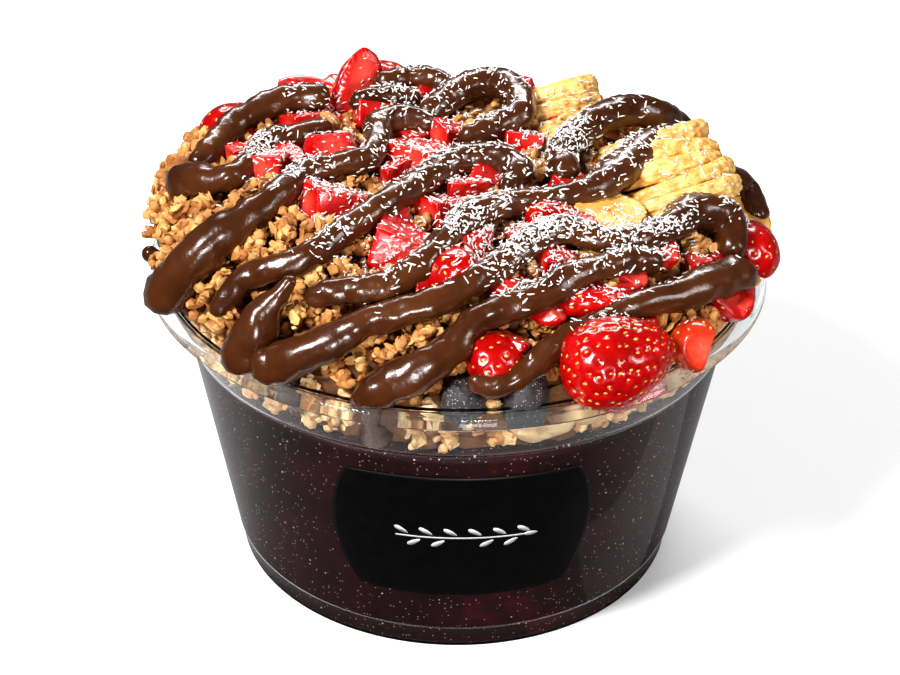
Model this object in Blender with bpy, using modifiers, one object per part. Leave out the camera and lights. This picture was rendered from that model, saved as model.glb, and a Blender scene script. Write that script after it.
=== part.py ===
"""Acai bowl: a clear tapered cup of acai pulp under a mound of granola, with cut
strawberries, fanned banana slices, dark berries and piped chocolate sauce on top.

The tables are in millimetres; every mesh is made in metres.  The cup stands on its foot
ring, centred on the Z axis, and the front of the bowl faces -Y."""

import math
from functools import partial

import bmesh
import bpy
from mathutils import Euler, Matrix, Vector, noise

MM = 0.001
GAP = 0.35  # clear distance kept between pieces that touch
BED = 1.3  # how much larger than a topping its coarser bed in the granola is
SEGMENTS = 40  # steps round the cup and what fills it

# Cup
RIM_R = 70.0  # outer edge of the lip
RIM_Z = 73.6  # highest edge, where the flange meets the inside wall
LIP_Z = 70.6  # lower edge of the lip's skirt
THROAT_R = 65.9  # inside of the wall at the rim
SHOULDER_R = 62.3  # outside of the wall at the stacking shoulder
SHOULDER_Z = 59.4
FOOT_R = 52.7  # outside of the wall just above the foot
FOOT_Z = 6.5
WALL = 0.7
GROOVE_IN_R = 44.0  # the base is raised inside this radius
GROOVE_OUT_R = 51.6
PUNT_Z = 3.0
PULP_Z = 59.0  # level of the acai

# Mound: the smooth surface that the toppings follow
MOUND_EDGE_Z = 73.5
MOUND_H = 20.0
MOUND_R = 71.0
FRONT_SET_IN = 6.5  # the mound stays inside the rim at the front
BACK_SET_IN = 2.0
OVERHANG_Z = RIM_Z + 0.5
GRANOLA_DROP = 1.6  # the granola under the toppings lies this much below the mound
LUMP = 1.2  # unevenness of the granola
LUMP_PITCH = 7.0
BANK_TURN = 168.0  # degrees: where the granola is banked up
BANK_SPREAD = 24.0
BANK_R = 64.0
BANK_WIDTH = 9.0
BANK_H = 6.0

# Label
LABEL_HALF_ANGLE = math.radians(28.5)
LABEL_TURN = math.radians(1.6)  # the label sits a little to the right
LABEL_LOW_Z = 17.5
LABEL_HIGH_Z = 52.7
LABEL_T = 0.3

# Chocolate sauce: x, y, radius of the rope, height of its middle above the mound
ROPES = {
    "back_left": [(-58, 5, 3.0, 3.5), (-56, 10, 3.2, 4), (-52, 19, 3.4, 4.5), (-46, 24, 3.4, 5),
                  (-40, 28, 3.5, 5.5), (-33, 29, 3.0, 5)],
    "left": [(-61, -1, 4.2, 4), (-55, -6, 3.6, 3.5), (-50, -7, 3.0, 3), (-47, -2, 2.6, 3),
             (-45, 4, 2.8, 3), (-41, 9, 3.2, 3), (-36, 11, 3.0, 3), (-31, 15, 2.4, 3)],
    "long_left": [(-62, -31, 4.8, 5), (-56, -31, 4.9, 5), (-51, -29, 4.4, 4.5), (-45, -26, 3.8, 4),
                  (-39, -20, 3.3, 4), (-34, -12, 3.0, 4.5), (-27, -7, 2.8, 4.5),
                  (-20, -3, 3.0, 4.5), (-18, 4, 3.2, 5), (-18, 12, 3.2, 5.5), (-13, 16, 3.0, 5.5),
                  (-8, 15, 2.6, 5)],
    "middle": [(-49, -42, 2.2, 3), (-45, -40, 2.6, 3), (-40, -40, 2.9, 3), (-34, -40, 2.9, 3),
               (-28, -37, 2.9, 3), (-22, -31, 2.9, 3.5), (-15, -24, 3.0, 4.5),
               (-9, -16, 3.0, 4.5), (-4, -8, 3.2, 4.5), (2, -3, 3.4, 4.5), (9, -3, 3.5, 4.5),
               (13, -7, 3.0, 4), (11, -13, 2.2, 3)],
    "front_left": [(-38, -55, 4.0, 3), (-32, -56, 4.1, 3.5), (-25, -56, 3.6, 3.5),
                   (-19, -54, 3.2, 3), (-12, -53, 3.0, 3), (-4, -51, 3.0, 3.5), (3, -47, 2.9, 4),
                   (10, -42, 2.9, 4.5), (16, -36, 3.0, 5), (22, -32, 3.0, 5), (29, -33, 2.8, 4.5),
                   (37, -31, 2.9, 4.5), (45, -24, 3.3, 5), (51, -16, 4.2, 5.5),
                   (58, -14, 4.2, 5.5), (59, -20, 3.4, 5)],
    "centre": [(-28, -48, 2.6, 3), (-22, -48, 2.8, 3), (-16, -48, 2.9, 3), (-11, -46, 2.9, 3.5),
               (-6, -42, 3.0, 4), (-2, -36, 3.0, 4.5), (3, -28, 3.0, 4.5), (12, -22, 2.8, 4),
               (21, -19, 2.6, 4), (29, -15, 3.0, 4.5), (35, -7, 4.2, 5), (42, 4, 4.6, 6),
               (47, 10, 4.0, 6)],
    "front": [(-18, -63, 3.4, 0), (-14, -63, 3.9, 3), (-7, -62, 4.0, 4), (-1, -59, 3.4, 4),
              (3, -55, 3.0, 4), (9, -52, 3.2, 4), (17, -49, 3.4, 4.5), (24, -44, 3.0, 5),
              (32, -39, 2.8, 5), (40, -35, 2.6, 4.5)],
    "front_right": [(0, -64, 3.0, 2), (6, -64, 3.0, 3), (12, -62, 2.4, 3.5), (17, -59, 2.6, 4),
                    (21, -56, 2.8, 4), (28, -52, 2.8, 4), (36, -46, 2.8, 4), (46, -40, 3.4, 4.5),
                    (54, -33, 4.0, 5), (60, -27, 4.0, 5)],
    "crest_left": [(-17, 35, 3.0, 6), (-12, 38, 2.8, 6), (-7, 38, 2.8, 6), (-3, 36, 2.6, 5)],
    "crest_low": [(-23, 26, 2.4, 5), (-17, 28, 2.4, 5.5), (-11, 28, 2.2, 5)],
    "crest_loop": [(-7, 21, 2.8, 4.5), (-3, 26, 3.4, 5.5), (2, 31, 3.6, 6.5), (8, 33, 3.8, 7),
                   (13, 27, 3.6, 7), (14, 18, 3.4, 6), (9, 13, 3.2, 5), (3, 9, 3.0, 4)],
    "back_right": [(23, -7, 3.4, 4), (23, 1, 3.6, 5), (27, 8, 3.6, 6), (32, 14, 3.6, 7),
                   (39, 21, 3.8, 7.5), (46, 25, 3.4, 7.5), (52, 31, 3.4, 6.5)],
    "right_end": [(60, 7, 3.6, 5), (65, 10, 4.0, 5), (67, 3, 3.2, 4)],
    "peak": [(-44, -51, 4.6, 3), (-41, -50, 4.6, 4.5), (-38, -49, 2.8, 6.5), (-34, -48, 1.2, 8)],
}

# How the knife trims a strawberry: where each cut passes, in half sizes, and what it faces
CUTS = {
    "whole": [],
    "half": [((0, 0, 0.05), (0.1, 0, 1))],
    "dome": [((0, 0, -0.2), (0, 0.1, -1))],
    "dice": [((-0.6, 0, 0), (-1, 0.2, 0.1)), ((0.55, 0, 0), (1, 0.1, 0.2)),
             ((0, 0, 0.45), (0.1, 0.1, 1)), ((0, -0.6, 0), (0.1, -1, -0.2))],
    "slab": [((0, 0, 0.5), (0.1, 0, 1)), ((0, 0, -0.5), (0, 0, -1)), ((-0.7, 0, 0), (-1, 0.3, 0))],
    "wedge": [((0, -0.05, 0), (0.25, -1, 0.15)), ((-0.75, 0, 0), (-1, 0, 0))],
}

# Strawberries: cut, length, width, height, x, y, height above the mound, yaw, pitch, roll
STRAWBERRIES = [
    ("wedge", 22, 16, 13, -23, 35, 3.5, 20, -78, 10),
    ("slab", 20, 14, 8, -37, 41, 2, 15, 0, 20),
    ("dome", 19, 15, 13, -52, 25, 2, 60, 5, -15),
    ("dice", 10, 9, 9, -50, 10, 0.5, 40, 0, 0),
    ("dice", 14, 12, 11, -42, -1, 2, 75, 10, 0),
    ("half", 12, 10, 9, -31, 29, 0.5, 10, 10, 0),
    ("dome", 15, 14, 15, -27, 7, 1.5, 80, 10, 0),
    ("dome", 17, 13, 12, -27, -18, 1, 150, 0, 0),
    ("slab", 17, 12, 9, -13, 36, 0.5, 10, 0, 0),
    ("dice", 20, 16, 13, -8, 2, 2.2, 65, 8, 6),
    ("dice", 16, 12, 10, 2, -11, 1, 20, 0, -10),
    ("dome", 13, 10, 9, -3, -20, 0, 35, 0, 0),
    ("dome", 16, 14, 12, -12, -34, 0, 100, 0, 0),
    ("dome", 14, 10, 9, 20, -24, 1, 10, 0, 0),
    ("dome", 14, 12, 12, -1, -42, 0.8, 95, 0, 0),
    ("dome", 15, 13, 12, 8, -57, -2, 15, 10, 0),
    ("slab", 22, 15, 10, 28, -42, -0.5, 12, 0, -12),
    ("whole", 26, 19, 18, 32, -57, 5.2, 22, -6, 10),
    ("wedge", 15, 11, 11, 49, -46, 2.5, 105, 20, 30),
    ("half", 20, 15, 12, 58.5, -28, 3, 62, -4, 44),
    ("dome", 18, 14, 12, 65, -10, 1, 80, 0, 25),
    ("dice", 9, 8, 8, 51, -27, 1, 30, 0, 0),
    ("dome", 18, 14, 13, -20, 55, 2, 160, 0, 0),
    ("half", 18, 14, 12, 38, 45, 0, -40, 0, 15),
    ("dome", 17, 14, 13, -45, 42, 0, 120, 0, 0),
]

# Banana slices: half length, half width, thickness, x, y, height above the mound, yaw, pitch, roll
BANANA_T = 4.0
BANANA_FANS = [
    # slices, first x, y, height; step in x, y, height; half sizes; yaw, pitch, roll
    (4, 22.5, 37.5, 4.6, (0.2, -5.0, -2.0), (11.6, 11.0), 25, 4, -14),
    (5, 45.5, 13, 5.2, (0.6, -5.0, -1.6), (14.0, 12.5), 10, 10, -14),
    (2, 62, 9, 1.0, (1.0, -7.0, -1.0), (8.5, 7.5), -20, 24, 0),
    (2, 33, -20, 0.5, (-4.0, 7.0, -1.0), (9.0, 8.0), 40, 4, 8),
    (2, 6, 55, 0.5, (8.0, -1.0, -1.2), (12.0, 11.0), 0, 6, -26),
]

# Dark berries: length, width, height, x, y, height above the mound, yaw
DARK_BERRIES = [
    (10, 9, 9, 1.5, -61.5, -4.0, 30),
    (13, 9, 13, 14, -60.5, -3.5, 70),
]

COLOURS = {  # base colour, roughness
    "cup": ((0.9, 0.9, 0.9), 0.05),
    "acai": ((0.05, 0.012, 0.025), 0.35),
    "label": ((0.01, 0.01, 0.011), 0.4),
    "granola": ((0.5, 0.27, 0.09), 0.7),
    "strawberry": ((0.6, 0.01, 0.008), 0.2),
    "banana": ((0.8, 0.62, 0.33), 0.5),
    "dark_berry": ((0.05, 0.045, 0.055), 0.6),
    "sauce": ((0.07, 0.022, 0.01), 0.2),
}


# ---------------------------------------------------------------- helpers


def clear_scene():
    for obj in list(bpy.data.objects):
        bpy.data.objects.remove(obj)


def collection(name):
    made = bpy.data.collections.new(name)
    bpy.context.scene.collection.children.link(made)
    return made


def material(name):
    colour, roughness = COLOURS[name]
    mat = bpy.data.materials.new(name)
    mat.use_nodes = True
    shader = mat.node_tree.nodes["Principled BSDF"]
    shader.inputs["Base Color"].default_value = (*colour, 1.0)
    shader.inputs["Roughness"].default_value = roughness
    return mat


def add_object(name, mesh, group, kind=None):
    obj = bpy.data.objects.new(name, mesh)
    group.objects.link(obj)
    if kind:
        mesh.materials.clear()
        mesh.materials.append(material(kind))
    return obj


def mesh_from(bm, name):
    mesh = bpy.data.meshes.new(name)
    bm.to_mesh(mesh)
    bm.free()
    return mesh


def evaluated(obj):
    depsgraph = bpy.context.evaluated_depsgraph_get()
    return bpy.data.meshes.new_from_object(obj.evaluated_get(depsgraph))


def largest_body(mesh):
    """Leaves only the biggest body of a mesh that a cut has split, going face to face."""
    bm = bmesh.new()
    bm.from_mesh(mesh)
    bmesh.ops.remove_doubles(bm, verts=bm.verts, dist=0.00001)
    bmesh.ops.dissolve_degenerate(bm, edges=bm.edges, dist=0.00001)
    left = set(bm.faces)
    bodies = []
    while left:
        body = []
        waiting = [left.pop()]
        while waiting:
            face = waiting.pop()
            body.append(face)
            for edge in face.edges:
                for other in edge.link_faces:
                    if other in left:
                        left.remove(other)
                        waiting.append(other)
        bodies.append(body)
    biggest = max(bodies, key=len)
    crumbs = [face for body in bodies if body is not biggest for face in body]
    bmesh.ops.delete(bm, geom=crumbs, context="FACES")
    bm.to_mesh(mesh)
    bm.free()


def near(a, b):
    """Whether the boxes of two objects come within a gap of each other."""
    boxes = []
    for obj in (a, b):
        places = [v.co for v in obj.data.vertices]
        low = [min(p[k] for p in places) for k in range(3)]
        high = [max(p[k] for p in places) for k in range(3)]
        boxes.append((low, high))
    (low_a, high_a), (low_b, high_b) = boxes
    return all(low_a[k] < high_b[k] and low_b[k] < high_a[k] for k in range(3))


def volume(mesh):
    bm = bmesh.new()
    bm.from_mesh(mesh)
    found = bm.calc_volume()
    bm.free()
    return found


def cut(obj, cutters):
    """Takes the cutters out of an object one by one and keeps its largest body."""
    for cutter in cutters:
        if not near(obj, cutter):
            continue
        whole = obj.data
        for solver in ("EXACT", "MANIFOLD"):
            mod = obj.modifiers.new("cut", "BOOLEAN")
            mod.operation = "DIFFERENCE"
            mod.solver = solver
            mod.object = cutter
            mesh = evaluated(obj)
            obj.modifiers.clear()
            largest_body(mesh)
            if volume(mesh) > 0.3 * volume(whole):
                break
        obj.data = mesh


def turned(name, profile, group, kind=None):
    """Turns a closed (radius, height) outline about the Z axis."""
    bm = bmesh.new()
    verts = [bm.verts.new((r * MM, 0.0, z * MM)) for r, z in profile]
    for first, second in zip(verts, verts[1:]):
        bm.edges.new((first, second))
    if profile[0][0] > 0:
        bm.edges.new((verts[-1], verts[0]))
    obj = add_object(name, mesh_from(bm, name), group)
    screw = obj.modifiers.new("turn", "SCREW")
    screw.steps = SEGMENTS
    screw.render_steps = SEGMENTS
    screw.use_merge_vertices = True
    screw.merge_threshold = 0.00001
    mesh = evaluated(obj)
    obj.modifiers.clear()
    obj.data = mesh
    if kind:
        mesh.materials.clear()
        mesh.materials.append(material(kind))
    return obj


# ---------------------------------------------------------------- the mound


def mound_edge(x, y):
    """How far out the mound reaches in the direction of a point."""
    side = y / max(math.hypot(x, y), 0.001)
    if side < 0:
        return MOUND_R - FRONT_SET_IN * side * side
    return MOUND_R - BACK_SET_IN * side * side


def mound(x, y):
    """Height of the smooth surface that the toppings follow."""
    r = math.hypot(x, y)
    away = max(r, 0.001)
    steepness = 4.0 + 3.0 * max(0.0, -x / away) + 1.5 * max(0.0, y / away)
    out = min(r / mound_edge(x, y), 1.0)
    return MOUND_EDGE_Z + MOUND_H * (1.0 - out**steepness)


def on_mound(x, y, lift):
    return Vector((x, y, mound(x, y) + lift)) * MM


# ---------------------------------------------------------------- cup and filling


def wall_radius(z):
    """Outside radius of the straight wall at a height."""
    share = (z - FOOT_Z) / (SHOULDER_Z - 0.8 - FOOT_Z)
    return FOOT_R + share * (SHOULDER_R - 0.6 - FOOT_R)


def make_cup(group):
    profile = [
        (0.0, PUNT_Z + WALL),
        (GROOVE_IN_R - 0.1, PUNT_Z + WALL),
        (GROOVE_IN_R + 2.2, WALL),
        (GROOVE_OUT_R - 1.2, WALL),
        (GROOVE_OUT_R - 0.6, WALL + 0.5),
        (FOOT_R - WALL, FOOT_Z),
        (SHOULDER_R - 0.6 - WALL, SHOULDER_Z - 0.8),
        (SHOULDER_R - WALL, SHOULDER_Z),
        (THROAT_R, RIM_Z),
        (RIM_R - 0.7, RIM_Z - 0.4),
        (RIM_R, LIP_Z),
        (RIM_R - WALL, LIP_Z),
        (RIM_R - 1.2, RIM_Z - 1.1),
        (THROAT_R + WALL, RIM_Z - 0.9),
        (SHOULDER_R, SHOULDER_Z),
        (SHOULDER_R - 0.6, SHOULDER_Z - 0.8),
        (FOOT_R, FOOT_Z),
        (GROOVE_OUT_R + 0.3, FOOT_Z - 1.0),
        (GROOVE_OUT_R, 0.8),
        (GROOVE_OUT_R - 0.8, 0.0),
        (GROOVE_IN_R + 2.0, 0.0),
        (GROOVE_IN_R, PUNT_Z),
        (0.0, PUNT_Z),
    ]
    return turned("cup", profile, group, "cup")


def make_acai(group):
    """The pulp fills the cup, foot groove and all, up to its level."""
    wall_at_level = SHOULDER_R - 0.6 - WALL
    profile = [
        (0.0, PULP_Z),
        (wall_at_level * 0.6, PULP_Z),
        (wall_at_level - GAP - 0.1, PULP_Z - 0.6),
        (FOOT_R - WALL - GAP, FOOT_Z),
        (GROOVE_OUT_R - 0.6 - GAP, WALL + 0.5 + GAP),
        (GROOVE_OUT_R - 1.2 - GAP, WALL + GAP),
        (GROOVE_IN_R + 2.2 + GAP, WALL + GAP),
        (GROOVE_IN_R - 0.1, PUNT_Z + WALL + GAP),
        (0.0, PUNT_Z + WALL + GAP),
    ]
    return turned("acai", profile, group, "acai")


def make_label(group):
    """A thin plate with bulging ends, bent round the front of the wall."""
    columns, rows = 14, 6
    bm = bmesh.new()
    bmesh.ops.create_grid(bm, x_segments=columns, y_segments=rows, size=1.0)
    middle = (LABEL_LOW_Z + LABEL_HIGH_Z) / 2
    half_height = (LABEL_HIGH_Z - LABEL_LOW_Z) / 2
    for vert in bm.verts:
        across, up = vert.co.x, vert.co.y
        reach = math.cos(up * math.radians(42.0))
        height = half_height * (1.0 - 0.10 * across**4)
        angle = LABEL_TURN + across * reach * LABEL_HALF_ANGLE
        z = middle + up * height
        r = wall_radius(z) + GAP
        vert.co = Vector((r * math.sin(angle), -r * math.cos(angle), z)) * MM
    bmesh.ops.recalc_face_normals(bm, faces=bm.faces)
    if bm.faces[0].normal.y > 0:
        bmesh.ops.reverse_faces(bm, faces=bm.faces)
    obj = add_object("label", mesh_from(bm, "label"), group, "label")
    solid = obj.modifiers.new("thickness", "SOLIDIFY")
    solid.thickness = LABEL_T * MM
    solid.offset = 1.0
    return obj


def left_bank(r, around):
    """The bare granola is banked up along the left edge."""
    turn = math.degrees(around) % 360 - BANK_TURN
    along = max(0.0, 1.0 - (turn / BANK_SPREAD) ** 2)
    across = max(0.0, 1.0 - ((r - BANK_R) / BANK_WIDTH) ** 2)
    return BANK_H * along * across


def granola_ring(ring, around):
    """Radius and height of the heap's outline at a ring, 0 under the heap to 20 on top."""
    cos_a, sin_a = math.cos(around), math.sin(around)
    edge = mound_edge(cos_a, sin_a)
    floor_r = SHOULDER_R - WALL - GAP - 0.4
    floor_z = PULP_Z + GAP
    throat = THROAT_R - GAP - 0.3
    rise = min(1.0, max(0.0, (edge - throat + 0.5) / 0.7))
    lip_z = MOUND_EDGE_Z - 2.0 + rise * (OVERHANG_Z - MOUND_EDGE_Z + 2.0)
    if ring <= 5:  # on the acai
        return floor_r * ring / 5, floor_z
    if ring <= 8:  # up the wall
        share = (ring - 5) / 3
        return floor_r + share * (throat - floor_r), floor_z + share * (lip_z - floor_z)
    if ring == 9:  # out over the rim, or just inside it
        return throat - 0.3 + 0.6 * max(0.0, edge - throat), lip_z + 0.1
    r = edge * (1.0 - ((ring - 10) / 10) ** 1.1)
    spot = Vector((r * cos_a, r * sin_a, 0.0)) / LUMP_PITCH
    z = mound(r * cos_a, r * sin_a) - GRANOLA_DROP + left_bank(r, around)
    z = max(z + LUMP * noise.noise(spot), lip_z + (0.9 if ring == 10 else 1.2))
    if ring == 10 and edge > throat + 2.0:
        r += LUMP * noise.noise(spot * 1.7)
    return r, z


def make_granola(group):
    """One heap from the acai to the uneven top, out over the rim at the sides and back."""
    bm = bmesh.new()
    bmesh.ops.create_uvsphere(bm, u_segments=SEGMENTS, v_segments=20, radius=1.0)
    for vert in bm.verts:
        around = math.atan2(vert.co.y, vert.co.x)
        ring = round(10 + 10 * math.asin(max(-1.0, min(1.0, vert.co.z))) / (math.pi / 2))
        r, z = granola_ring(ring, around)
        vert.co = Vector((r * math.cos(around), r * math.sin(around), z)) * MM
    return add_object("granola", mesh_from(bm, "granola"), group, "granola")


# ---------------------------------------------------------------- fruit


def placed(bm, at, yaw, pitch, roll):
    turn = Euler([math.radians(a) for a in (roll, pitch, yaw)], "XYZ").to_matrix().to_4x4()
    bmesh.ops.transform(bm, matrix=Matrix.Translation(at) @ turn, verts=bm.verts)


def strawberry_mesh(row, grow, segments=10):
    """A heart-shaped berry, its tip towards +X, trimmed by the knife and put in place."""
    kind, length, width, height, x, y, lift, yaw, pitch, roll = row
    half = Vector((length, width, height)) / 2 + Vector((grow, grow, grow))
    bm = bmesh.new()
    rings = max(5, segments * 7 // 10)
    bmesh.ops.create_uvsphere(bm, u_segments=segments, v_segments=rings, radius=1.0)
    bmesh.ops.rotate(bm, verts=bm.verts, matrix=Matrix.Rotation(math.radians(90), 3, "Y"))
    for vert in bm.verts:
        taper = 1.0 - 0.22 * vert.co.x
        vert.co = Vector((vert.co.x * half.x, vert.co.y * taper * half.y, vert.co.z * taper * half.z))
    for place, facing in CUTS[kind]:
        normal = Vector(facing).normalized()
        point = Vector([p * h for p, h in zip(place, half - Vector((grow,) * 3))]) + normal * grow
        everything = bm.verts[:] + bm.edges[:] + bm.faces[:]
        sliced = bmesh.ops.bisect_plane(bm, geom=everything, plane_co=point, plane_no=normal,
                                        clear_outer=True)
        rim = [e for e in sliced["geom_cut"] if isinstance(e, bmesh.types.BMEdge)]
        bmesh.ops.edgeloop_fill(bm, edges=rim)
    bmesh.ops.scale(bm, vec=(MM, MM, MM), verts=bm.verts)
    placed(bm, on_mound(x, y, lift), yaw, pitch, roll)
    bmesh.ops.recalc_face_normals(bm, faces=bm.faces)
    return mesh_from(bm, "strawberry")


def banana_mesh(half_x, half_y, at, yaw, pitch, roll, grow, segments=16):
    """One slice: a rounded three-sided disc with eased edges."""
    bm = bmesh.new()
    bmesh.ops.create_cone(bm, cap_ends=True, segments=segments, radius1=1.0, radius2=1.0,
                          depth=1.0)
    for vert in bm.verts:
        angle = math.atan2(vert.co.y, vert.co.x)
        lobe = 1.0 + 0.035 * math.cos(3 * angle)
        vert.co.x *= lobe * (half_x + grow) * MM
        vert.co.y *= lobe * (half_y + grow) * MM
        vert.co.z *= (BANANA_T + 2 * grow) * MM
    placed(bm, at, yaw, pitch, roll)
    return mesh_from(bm, "banana")


def banana_rows():
    rows = []
    for count, x, y, lift, step, halves, yaw, pitch, roll in BANANA_FANS:
        for k in range(count):
            at = on_mound(x, y, lift)
            at += Vector(step) * k * MM
            turn = yaw + 6 * ((k % 2) - 0.5)
            lean = roll + 2.5 * (k % 3)
            rows.append((halves[0] - 0.4 * (k % 2), halves[1], at, turn, pitch, lean))
    return rows


def dark_berry_mesh(row, grow, segments=10):
    length, width, height, x, y, lift, yaw = row
    bm = bmesh.new()
    rings = segments * 7 // 10
    bmesh.ops.create_uvsphere(bm, u_segments=segments, v_segments=rings, radius=1.0)
    for vert in bm.verts:
        dent = 1.0 + 0.10 * noise.noise(vert.co * 1.8 + Vector((x, y, 0.0)))
        half = Vector((length, width, height)) / 2 + Vector((grow, grow, grow))
        vert.co = Vector([c * h * dent for c, h in zip(vert.co, half)]) * MM
    placed(bm, on_mound(x, y, lift), yaw, 0, 0)
    return mesh_from(bm, "dark_berry")


# ---------------------------------------------------------------- sauce


def rounded_end(centre, along, radius):
    """Two narrowing rings past the end of a rope, which round it off."""
    rings = []
    for reach in (0.55, 0.9):
        rings.append((centre + along * radius * reach * MM, radius * math.sqrt(1.0 - reach**2)))
    return rings


def rope_mesh(route, grow, group, resolution=2):
    """A piped rope: a bevelled curve with rounded ends, made a mesh."""
    rings = [(on_mound(x, y, lift), radius) for x, y, radius, lift in route]
    lead = (rings[0][0] - rings[1][0]).normalized()
    tail = (rings[-1][0] - rings[-2][0]).normalized()
    start = rounded_end(rings[0][0], lead, rings[0][1])
    end = rounded_end(rings[-1][0], tail, rings[-1][1])
    rings = start[::-1] + rings + end
    curve = bpy.data.curves.new("rope", "CURVE")
    curve.dimensions = "3D"
    curve.bevel_depth = 1.0
    curve.bevel_resolution = resolution
    curve.use_fill_caps = True
    spline = curve.splines.new("POLY")
    spline.points.add(len(rings) - 1)
    for point, (centre, radius) in zip(spline.points, rings):
        point.co = (*centre, 1.0)
        point.radius = (radius + grow) * MM
    guide = bpy.data.objects.new("rope_curve", curve)
    group.objects.link(guide)
    bpy.context.view_layer.update()
    mesh = evaluated(guide)
    bpy.data.objects.remove(guide)
    bm = bmesh.new()
    bm.from_mesh(mesh)
    bmesh.ops.remove_doubles(bm, verts=bm.verts, dist=0.00001)
    bmesh.ops.recalc_face_normals(bm, faces=bm.faces)
    bm.to_mesh(mesh)
    bm.free()
    return mesh


# ---------------------------------------------------------------- assembly


def rim_keepout(group):
    """A ring a gap larger than the cup's wall and rim, which trims what rests on them."""
    profile = [
        (SHOULDER_R - 1.4 - WALL - GAP, FOOT_Z + 40.0),
        (SHOULDER_R - 0.6 - WALL - GAP, SHOULDER_Z - 0.8),
        (SHOULDER_R - WALL - GAP, SHOULDER_Z),
        (THROAT_R - GAP, RIM_Z + GAP),
        (RIM_R - 0.5, RIM_Z + GAP - 0.3),
        (RIM_R + GAP, LIP_Z - GAP),
        (RIM_R + GAP, FOOT_Z + 40.0),
    ]
    return turned("rim_keepout", profile, group)


def as_cutter(obj):
    obj.hide_render = True
    obj.display_type = "WIRE"
    return obj


def main():
    clear_scene()
    bowl = collection("acai_bowl")
    cutters = collection("cutters")
    make_cup(bowl)
    make_acai(bowl)
    make_label(bowl)
    ring = as_cutter(rim_keepout(cutters))

    makers = []  # name, kind, how its mesh is made, how its coarse bed is made
    for name, route in ROPES.items():
        makers.append((f"sauce_{name}", "sauce", partial(rope_mesh, route, group=cutters),
                       {"grow": BED, "resolution": 1}))
    for k, row in enumerate(STRAWBERRIES, 1):
        makers.append((f"strawberry_{k:02d}", "strawberry", partial(strawberry_mesh, row),
                       {"grow": BED, "segments": 8}))
    for k, row in enumerate(DARK_BERRIES, 1):
        makers.append((f"dark_berry_{k}", "dark_berry", partial(dark_berry_mesh, row),
                       {"grow": BED, "segments": 8}))
    for k, row in enumerate(banana_rows(), 1):
        makers.append((f"banana_{k:02d}", "banana", partial(banana_mesh, *row),
                       {"grow": BED, "segments": 12}))

    # Each topping keeps clear of the rim and of the toppings before it, and the granola,
    # made last, keeps clear of them all.
    rooms, beds = [ring], []
    for name, kind, make, bed in makers:
        piece = add_object(name, make(grow=0.0), bowl, kind)
        cut(piece, rooms)
        rooms.append(as_cutter(add_object(f"{name}_room", make(grow=GAP), cutters)))
        beds.append(as_cutter(add_object(f"{name}_bed", make(**bed), cutters)))
    granola = make_granola(bowl)
    cut(granola, beds)
    for obj in bowl.objects:
        obj.data.shade_smooth()
        obj.data.set_sharp_from_angle(angle=math.radians(40))


main()
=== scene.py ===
"""The looks of an acai bowl: a clear cup of acai pulp under granola, cut strawberries, banana
slices, dark berries, piped chocolate sauce and coconut shreds.

The tables are in millimetres, as the CAD's are, and every mesh is made in metres in the CAD's
frame.  The front of the bowl faces -Y."""
import math
import random

import bmesh
import bpy
import numpy as np
from mathutils import Euler, Matrix, Vector, noise
from mathutils.bvhtree import BVHTree
from mathutils.kdtree import KDTree


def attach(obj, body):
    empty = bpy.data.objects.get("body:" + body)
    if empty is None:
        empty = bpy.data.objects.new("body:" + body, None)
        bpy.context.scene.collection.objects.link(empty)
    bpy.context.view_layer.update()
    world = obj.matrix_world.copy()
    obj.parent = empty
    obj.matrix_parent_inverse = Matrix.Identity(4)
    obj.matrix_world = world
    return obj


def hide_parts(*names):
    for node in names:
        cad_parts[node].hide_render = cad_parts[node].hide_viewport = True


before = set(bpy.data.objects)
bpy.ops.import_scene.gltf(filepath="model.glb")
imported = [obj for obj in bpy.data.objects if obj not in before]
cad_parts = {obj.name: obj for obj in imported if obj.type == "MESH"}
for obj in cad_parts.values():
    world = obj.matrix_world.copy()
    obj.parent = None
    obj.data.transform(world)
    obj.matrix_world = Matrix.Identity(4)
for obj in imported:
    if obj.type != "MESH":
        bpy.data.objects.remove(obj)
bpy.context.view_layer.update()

MM = 0.001

# ---------------------------------------------------------------- sizes, as in the CAD

RIM_R = 70.0
RIM_Z = 73.6
LIP_Z = 70.6
THROAT_R = 65.9
SHOULDER_R = 62.3
SHOULDER_Z = 59.4
SHOULDER_STEP = 0.6  # how far the wall steps in below the shoulder
STEP_H = 0.8
FOOT_R = 52.7
FOOT_Z = 6.5
WALL = 0.7
GROOVE_IN_R = 44.0
GROOVE_OUT_R = 51.6
PUNT_Z = 3.0
PULP_Z = 59.0
INTO_WALL = 0.15  # how far the pulp reaches into the wall
SPIN_STEPS = 192

MOUND_EDGE_Z = 73.5
MOUND_H = 20.0
MOUND_R = 71.0
FRONT_SET_IN = 6.5
BACK_SET_IN = 2.0
GRANOLA_DROP = 1.6
CORE_SET_IN = 3.6  # how much smaller the granola's core is than its heap
BANK_TURN = 168.0
BANK_SPREAD = 24.0
BANK_R = 64.0
BANK_WIDTH = 9.0
BANK_H = 6.0

LABEL_HALF_ANGLE = math.radians(28.5)
LABEL_TURN = math.radians(1.6)
LABEL_LOW_Z = 17.5
LABEL_HIGH_Z = 52.7

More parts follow.
